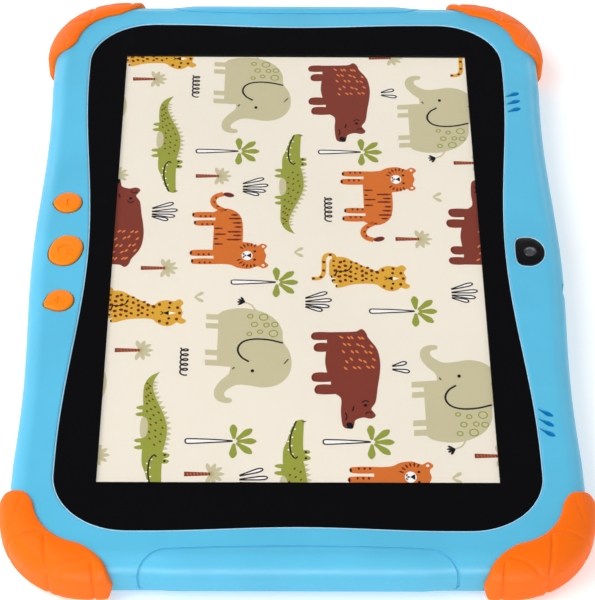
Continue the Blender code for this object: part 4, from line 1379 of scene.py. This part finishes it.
def draw_bear(pen):
    outline = [(1.2, 6)]
    outline += paws((1.2, 4.1, 0, 4.5, 4.5), (5.3, 8.5, 0.7, 4.5, 4.2))
    outline += [(12.5, 3.9)]
    outline += paws((16.3, 19.6, 0, 4.4, 5.4), (20.7, 24.1, 0.8, 5.4, 6.6))
    outline += [(25.6, 8.1), (30, 8.0), (34, 8.2), (36, 8.8)]
    outline += [(36.4, 10.6), (35.2, 11.5), (33.4, 12), (32.5, 14.2)]
    outline += [(32.9, 16.2), (31.9, 17.5), (30.4, 16.9), (29.4, 16.4)]
    outline += [(27, 17.6), (21.3, 18.4), (16.6, 19.1)]
    outline += [(12.2, 19.3), (7.4, 18.5), (3.1, 16.1), (1.4, 15.6), (0, 14.4), (0.9, 12.8)]
    pen.fill("chestnut", outline)
    pen.spot("soot", (35.4, 10.4), 1.25, 0.95, 0.5)
    pen.spot("soot", (28.2, 14.8), 0.5)
    pen.stroke("soot", [(27.2, 13.8), (26.5, 14.8), (27, 15.8)], 0.34)
    pen.stroke("soot", [(28.6, 11.6), (30.2, 11.2)], 0.4)
    pen.stroke("soot", [(33.6, 9.2), (32.2, 9.6), (30.8, 9.2)], 0.36)
    pen.stroke("soot", [(31.0, 16.6), (30.6, 15.4), (31.4, 14.8)], 0.3)
    rows = random.Random(8)
    for i in range(25):
        row, column = divmod(i, 5)
        u = 3.4 + column * 2.8 + rows.uniform(-0.5, 0.5)
        v = 9.0 + row * 1.9 + column * 0.25 + (i % 2) * 0.6 - (0 if column else 1.6) * row / 4
        pen.spot("ember", (u, v - 0.4), 0.72, 0.28, 0.7 + rows.uniform(-0.15, 0.15), 10)
    for left, foot in ((1.9, 0.3), (6.0, 1.0), (17.0, 0.3), (21.5, 1.1)):
        pen.stroke("umber", [(left, foot + 0.5), (left + 1.0, foot), (left + 2.0, foot + 0.5)], 0.4)


def draw_tiger(pen):
    outline = paws((8.2, 10.5, 0.3, 6.6, 7.2), (11.6, 13.8, 0.9, 7.2, 6.8))
    outline += paws((23.8, 26.2, -0.1, 6.7, 7), (27.3, 29.5, 0.4, 7, 9))
    outline += [(29.8, 12.0), (31.0, 14.2), (31.4, 17.4), (30.4, 20.0)]
    outline += [(31.2, 21.6), (30.0, 23.0), (28.4, 22.0)]
    outline += [(26, 22.4), (23.8, 21.8), (22.2, 22.6), (21.2, 21.2), (22.0, 19.8), (20.9, 17.6)]
    outline += [(20.6, 15.4, SHARP), (16, 15.5), (12, 15.2), (9.0, 14.2), (7, 11.8), (6.8, 9.2)]
    pen.fill("amber", outline)
    tail = [(7.6, 9.8), (5.8, 7.3), (3.6, 6.4), (1.6, 7.2), (0.5, 9.4)]
    pen.stroke("amber", tail, 1.8)
    pen.spot("umber", (0.9, 11.0), 0.95, 1.7, -0.3)
    pen.spot("chalk", (26.1, 16.8), 1.9, 1.6)
    pen.fill("soot", [(25.1, 18.0, SHARP), (27.1, 18.0, SHARP), (26.1, 16.6, SHARP)])
    pen.stroke("coal", [(25.1, 16.0), (25.6, 15.6), (26.1, 16.4), (26.6, 15.6), (27.1, 16.0)], 0.3)
    pen.spots("soot", ((24.4, 19.0), (27.8, 19.0)), 0.4)
    pen.spots("chalk", ((22.4, 21.5), (30.0, 21.5)), 0.42)
    stripes = ((9.4, 2.2), (10.9, 4.0), (12.7, 2.8), (14.4, 2.2), (16.4, 4.2), (17.9, 2.6), (19.6, 4.4))
    for u, length in stripes:
        pen.petal("umber", (u, 15.1 if u > 10 else 14.0), -math.pi / 2, length, 0.75, 0.3)
    for u, length in ((15, 2.7), (17.4, 3.6), (19.3, 1.4), (21.4, 2.8)):
        pen.petal("umber", (u, 6.9), math.pi / 2, length, 0.7, 0.3)
    for right, foot in ((10.4, 0.8), (13.7, 1.4), (26.1, 0.6), (29.4, 1.0)):
        pen.spot("soot", (right - 1.1, foot - 0.2), 0.75, 0.3)
        for step in range(3):
            pen.petal("umber", (right, foot + 2 + 1.5 * step), math.pi, 0.95, 0.7, 0.3)
    for i in range(14):
        angle = math.radians(-205 + 17.5 * i)
        rim = Vector((26 + 5.1 * math.cos(angle), 17.6 + 4.3 * math.sin(angle)))
        if i not in (5, 6, 7):
            pen.petal("umber", rim, angle + math.pi, 1.5, 0.55, 0.4)
    for i, (u, v) in enumerate(tail[:-1]):
        pen.petal("umber", (u, v), 2.2 - i * 0.7, 1.0, 0.6, 0.4)


def draw_leopard(pen):
    """A leopard that sits upright, its tail hanging below it, and looks out of the picture."""
    outline = [(3.2, 5.9), (7, 5.6), (9.4, 5.7), (10.3, 6.7)]
    outline += [(10.2, 8.0, SHARP), (11.0, 6.8), (11.9, 6.3)]
    outline += [(12.5, 7.0), (12.6, 8.4, SHARP), (13.2, 7.4), (14.1, 7.7)]
    outline += [(14.0, 9.2), (13, 12), (12.6, 16)]
    outline += [(12.9, 19.2), (14.4, 20.8), (15.5, 23.2), (15, 25.2)]
    outline += [(14.1, 26.2), (14.6, 27.8), (13.4, 28.9)]
    outline += [(12.1, 27.6), (10.2, 27.9), (8.0, 27.3), (6.6, 28.0)]
    outline += [(5.2, 26.9), (5.9, 25.4), (5.5, 23)]
    outline += [(6.2, 20.8), (7.4, 19.4), (6.2, 16.8), (3.8, 12.9), (2, 10), (2, 7.4)]
    pen.fill("honey", outline)
    tail = [(2.6, 7.2), (1.2, 6.8), (1.0, 5.2), (2.4, 4.2)]
    tail += [(6, 4.1), (9, 3.8), (10.5, 2.6), (10.6, 0.5)]
    pen.stroke("honey", tail, 1.35)
    pen.fill("soot", [(9.7, 23.9, SHARP), (11.3, 23.9, SHARP), (10.5, 22.2, SHARP)])
    pen.fill("chalk", [(9.9, 24.1, SHARP), (11.1, 24.1, SHARP), (10.5, 26.0, SHARP)])
    pen.stroke("soot", [(9.8, 21.6), (10.5, 22.2), (11.2, 21.6)], 0.28)
    pen.spots("soot", ((8.4, 24.0), (12.6, 24.0)), 0.42)
    pen.stroke("soot", [(5.3, 12.2), (7.2, 11.2), (7.8, 9.2), (7.7, 8.0), (9.2, 7.4)], 0.4)
    for u, v in ((11.5, 6.6), (13.7, 7.7), (9.9, 6.4)):
        pen.stroke("soot", [(u - 0.5, v - 0.1), (u + 0.4, v - 0.1)], 0.4)
    rows = random.Random(4)
    for level in range(9):
        v = 7.2 + 1.55 * level
        left, right = (2.6 + 0.02 * level, 12.6) if level < 4 else (2.6 + (level - 3) * 0.85, 12.2)
        count = max(2, round((right - left) / 2.2))
        for i in range(count):
            u = left + (right - left) * (i + 0.5 + 0.25 * (level % 2)) / (count + 0.25)
            size = rows.uniform(0.42, 0.68)
            pen.spot("umber", (u, v + rows.uniform(-0.3, 0.3)), size, size * 0.8, rows.uniform(0, 3), 9)
    face = ((7.2, 21.2), (13.6, 21.4), (14.4, 23.6), (6.6, 24.2), (8.4, 26.4), (10.5, 27.0), (12.8, 26.2))
    pen.spots("umber", face, 0.56, 0.46)
    pen.spots("umber", ((1.1, 6.0), (4, 4.1), (7.4, 4.0), (10, 3.2), (10.6, 1.0)), 0.5)


def draw_green_palm(pen):
    trunk = [(-0.8, 0.5), (-0.45, 0.0), (0.55, 0.05), (0.85, 0.6)]
    trunk += [(0.55, 6.5), (0.1, 12.6), (-0.1, 12.6), (-0.6, 6.5)]
    pen.fill("chalk", trunk)
    pen.stroke("coal", trunk + [trunk[0]], 0.42)
    for angle, length in ((3.2, 5.2), (2.3, 5.8), (1.57, 5.4), (0.84, 5.8), (-0.06, 5.2)):
        root = (0.05 + 0.7 * math.cos(angle), 13.2 + 0.7 * math.sin(angle))
        pen.petal("leaf", root, angle, length, 2.1, 0.66)


def draw_brown_palm(pen):
    pen.fill("chestnut", [(-0.8, 0, SHARP), (0.8, 0, SHARP), (0.5, 7, SHARP), (-0.5, 7, SHARP)])
    for i in range(7):
        pen.stroke("ember", [(-0.45, 0.7 + 0.9 * i), (0.45, 1.1 + 0.9 * i)], 0.18)
    for angle in (3.4, 2.8, 2.2, 1.57, 0.95, 0.35, -0.25):
        pen.petal("stone", (0, 7), angle, 3.8, 1.3, 0.6)


def draw_coil(pen):
    """A loose spring-like scribble that runs along u."""
    line = []
    for i in range(50):
        turn = 2 * math.pi * i / 9
        line.append((0.2 * i + 0.75 * math.sin(turn), 1.15 - 1.05 * math.cos(turn)))
    pen.stroke("coal", line, 0.48, 2)


def draw_blades(pen, blades):
    """White blades with a dark edge, open at the root. Each is (root, angle, length)."""
    for root, angle, length in blades:
        along = Vector((math.cos(angle), math.sin(angle)))
        side = Vector((-along.y, along.x))
        stops = ((0.0, 0.1), (0.45, 0.4), (0.86, 0.55), (1.0, 0.0))
        stops += ((0.86, -0.55), (0.45, -0.4), (0.0, -0.1))
        edge = [tuple(Vector((root, 0)) + along * length * a + side * b) for a, b in stops]
        pen.fill("chalk", edge)
        pen.stroke("coal", edge, 0.44)


def draw_two_leaves(pen):
    for angle in (0.95, 2.2):
        pen.petal("stone", (0, 0), angle, 3.2, 1.2)


def draw_bunch(pen):
    draw_blades(pen, ((-1.4, 1.92, 6.6), (-0.1, 1.66, 7.5), (1.0, 1.45, 6.8), (1.9, 1.28, 5.0)))


def draw_pair(pen):
    draw_blades(pen, ((-0.6, 1.9, 4.2), (0.6, 1.4, 4.8)))


# Where each drawing stands, from the middle of the screen; a third value of -1 turns it to face -X
DRAWINGS = (
    (draw_elephant, ((-86, -26), (22.4, -26), (-42.0, 31.4, -1), (71.7, 31.5, -1))),
    (draw_elephant, ((-42.0, -77.2, -1), (71.7, -77.2, -1))),
    (draw_crocodile, ((-67.4, -44.2), (46.6, -44.2), (-7.2, -6.5, -1), (106.8, -6.2, -1))),
    (draw_bear, ((-83.3, 3.8), (30.4, 3.8), (6.4, -64.5, -1), (6.2, 44.3, -1), (120.6, 46, -1))),
    (draw_tiger, ((-24.4, -31.4), (-4.3, 13.2, -1), (109.6, 13.3, -1))),
    (draw_leopard, ((0.2, 3.7), (14.0, -60.6), (-95.6, -60.6), (-88.2, 48.3))),
    (draw_green_palm, ((-42.5, -30.6), (-42.3, 6.8), (12.3, -19), (23.5, 20.7), (71.3, -30.5))),
    (draw_green_palm, ((71.5, 6.9),)),
    (draw_brown_palm, ((-75.4, -51.5), (-31.6, -30.5), (6.8, -45.4), (-5.3, 29.0), (38.6, -51.3))),
    (draw_brown_palm, ((82.6, -30.5), (-85.9, 23.2), (-37.7, 47.8), (76.2, 47.6), (-31.9, -61.5))),
    (draw_brown_palm, ((76.2, -61.5),)),
    (draw_coil, ((-77.2, -32.7), (-22.7, 8.2), (37.6, -32.9))),
    (draw_bunch, ((-26.9, -16.2), (-16.2, -43.1), (20.0, 2.3), (16.3, 44.4), (84.6, -15.7))),
    (draw_pair, ((-68.8, 26.6), (44.9, 26.4))),
    (draw_two_leaves, ((-22.9, 40.8), (18.2, -29.5), (0.2, -0.8), (83.8, 41.2))),
)


def build_picture():
    """The picture as thin layers of ink on the panel, cut off at the edges of the lit area."""
    page = Page()
    page.loops["cream"].append(screen_corners())
    for draw, places in DRAWINGS:
        for place in places:
            draw(Pen(page, *place))
    half_x, half_y = SCREEN_X / 2, SCREEN_Y / 2
    edges = (((SCREEN_MIDDLE + half_x, 0, 0), (1, 0, 0)), ((SCREEN_MIDDLE - half_x, 0, 0), (-1, 0, 0)))
    edges += (((0, half_y, 0), (0, 1, 0)), ((0, -half_y, 0), (0, -1, 0)))
    for ink, loops in page.loops.items():
        layer, colour = INKS[ink]
        MATERIALS["ink_" + ink] = lit_ink("ink_" + ink, colour)
        low = PANEL_TOP + LAYER_FOOT + layer * LAYER_STEP
        bm = bmesh.new()
        for loop in loops:
            bm.faces.new([bm.verts.new((p.x, p.y, low)) for p in loop])
        for left, right in page.strips[ink]:
            sides = [[bm.verts.new((p.x, p.y, low)) for p in side] for side in (left, right)]
            for i in range(len(left) - 1):
                bm.faces.new((sides[0][i], sides[0][i + 1], sides[1][i + 1], sides[1][i]))
        bm.normal_update()
        bmesh.ops.triangulate(bm, faces=bm.faces)
        for place, outward in edges:
            whole = bm.verts[:] + bm.edges[:] + bm.faces[:]
            bmesh.ops.bisect_plane(bm, geom=whole, plane_co=place, plane_no=outward, clear_outer=True)
        raise_faces(bm, bm.faces[:], LAYER_THICK)
        add_piece("picture_" + ink, bm, "ink_" + ink, slot="display")


# ---------------- stage


def build_stage():
    """A pale floor, even studio light with a darker patch overhead, and the camera."""
    mesh = bpy.data.meshes.new("floor")
    mesh.from_pydata([(-3, -3, 0), (3, -3, 0), (3, 3, 0), (-3, 3, 0)], [], [(0, 1, 2, 3)])
    floor = bpy.data.objects.new("floor", mesh)
    bpy.context.scene.collection.objects.link(floor)
    nodes = Nodes("floor_paper")
    paper = nodes.spread(nodes.noise(300.0))
    nodes.tint(paper, (0.90, 0.90, 0.90, 1), (0.92, 0.92, 0.92, 1))
    nodes.set(Roughness=0.9, Specular_IOR_Level=0.1)
    nodes.set(Emission_Color=(1, 1, 1, 1), Emission_Strength=0.33)
    mesh.materials.append(nodes.material)
    build_world()
    add_light("key_light", (0.25, -0.75, 0.95), (0.9, 0.9), 9.0)
    strip = add_light("edge_strip", (1.6, 0.0, 0.11), (2.0, 0.05), 40.0)
    backlight = add_light("rim_backlight", (-1.6, 0.0, 0.4), (3.2, 0.35), 18.0)
    for lamp in (strip, backlight):
        lamp.visible_diffuse = False
    build_camera()


def build_world():
    """Pale all round, with one darker patch that the glass mirrors in place of a bright ceiling."""
    world = bpy.data.worlds.new("studio")
    bpy.context.scene.world = world
    world.use_nodes = True
    tree = world.node_tree
    background = tree.nodes["Background"]
    direction = tree.nodes.new("ShaderNodeTexCoord").outputs["Generated"]
    toward = tree.nodes.new("ShaderNodeVectorMath")
    toward.operation = "DOT_PRODUCT"
    toward.inputs[1].default_value = (-CAMERA_LEVEL, 0, math.sin(CAMERA_ELEVATION))
    tree.links.new(direction, toward.inputs[0])
    edge = tree.nodes.new("ShaderNodeMapRange")
    edge.interpolation_type = "SMOOTHSTEP"
    edge.inputs["From Min"].default_value = math.cos(math.radians(38))
    edge.inputs["From Max"].default_value = math.cos(math.radians(20))
    tree.links.new(toward.outputs["Value"], edge.inputs["Value"])
    mix = tree.nodes.new("ShaderNodeMix")
    mix.data_type = "RGBA"
    mix.inputs[6].default_value = (0.86, 0.87, 0.88, 1)
    mix.inputs[7].default_value = (0.07, 0.07, 0.08, 1)
    tree.links.new(edge.outputs["Result"], mix.inputs["Factor"])
    tree.links.new(mix.outputs[2], background.inputs["Color"])
    background.inputs["Strength"].default_value = 0.9


def add_light(name, place, size, power):
    """A rectangular lamp that points at the origin. Size is its width and height."""
    light = bpy.data.lights.new(name, "AREA")
    light.shape = "RECTANGLE"
    light.size, light.size_y = size
    light.energy = power
    lamp = bpy.data.objects.new(name, light)
    bpy.context.scene.collection.objects.link(lamp)
    lamp.location = place
    lamp.rotation_euler = (-Vector(place)).to_track_quat("-Z", "Y").to_euler()
    return lamp


def build_camera():
    camera = bpy.data.cameras.new("camera")
    camera.lens = CAMERA_LENS
    camera.sensor_width = 36.0
    camera.clip_end = 20.0
    holder = bpy.data.objects.new("camera", camera)
    bpy.context.scene.collection.objects.link(holder)
    across = CAMERA_LEVEL * math.cos(CAMERA_AZIMUTH), CAMERA_LEVEL * math.sin(CAMERA_AZIMUTH)
    backwards = Vector((*across, math.sin(CAMERA_ELEVATION)))
    turn = backwards.to_track_quat("Z", "Y") @ Quaternion((0, 0, 1), CAMERA_ROLL)
    holder.location = (CAMERA_TARGET + backwards * CAMERA_DISTANCE) * MM
    holder.rotation_euler = turn.to_euler()
    bpy.context.scene.camera = holder
    bpy.context.scene.view_settings.view_transform = "Standard"


MATERIALS = make_materials()
build_stage()
dress_cad_nodes()
build_front_frame()
build_slot_shade_inlays()
build_rear_cover()
build_bumpers()
build_glass()
build_highlight_beads()
build_keys()
build_front_camera()
build_rear_camera()
build_screws()
build_picture()
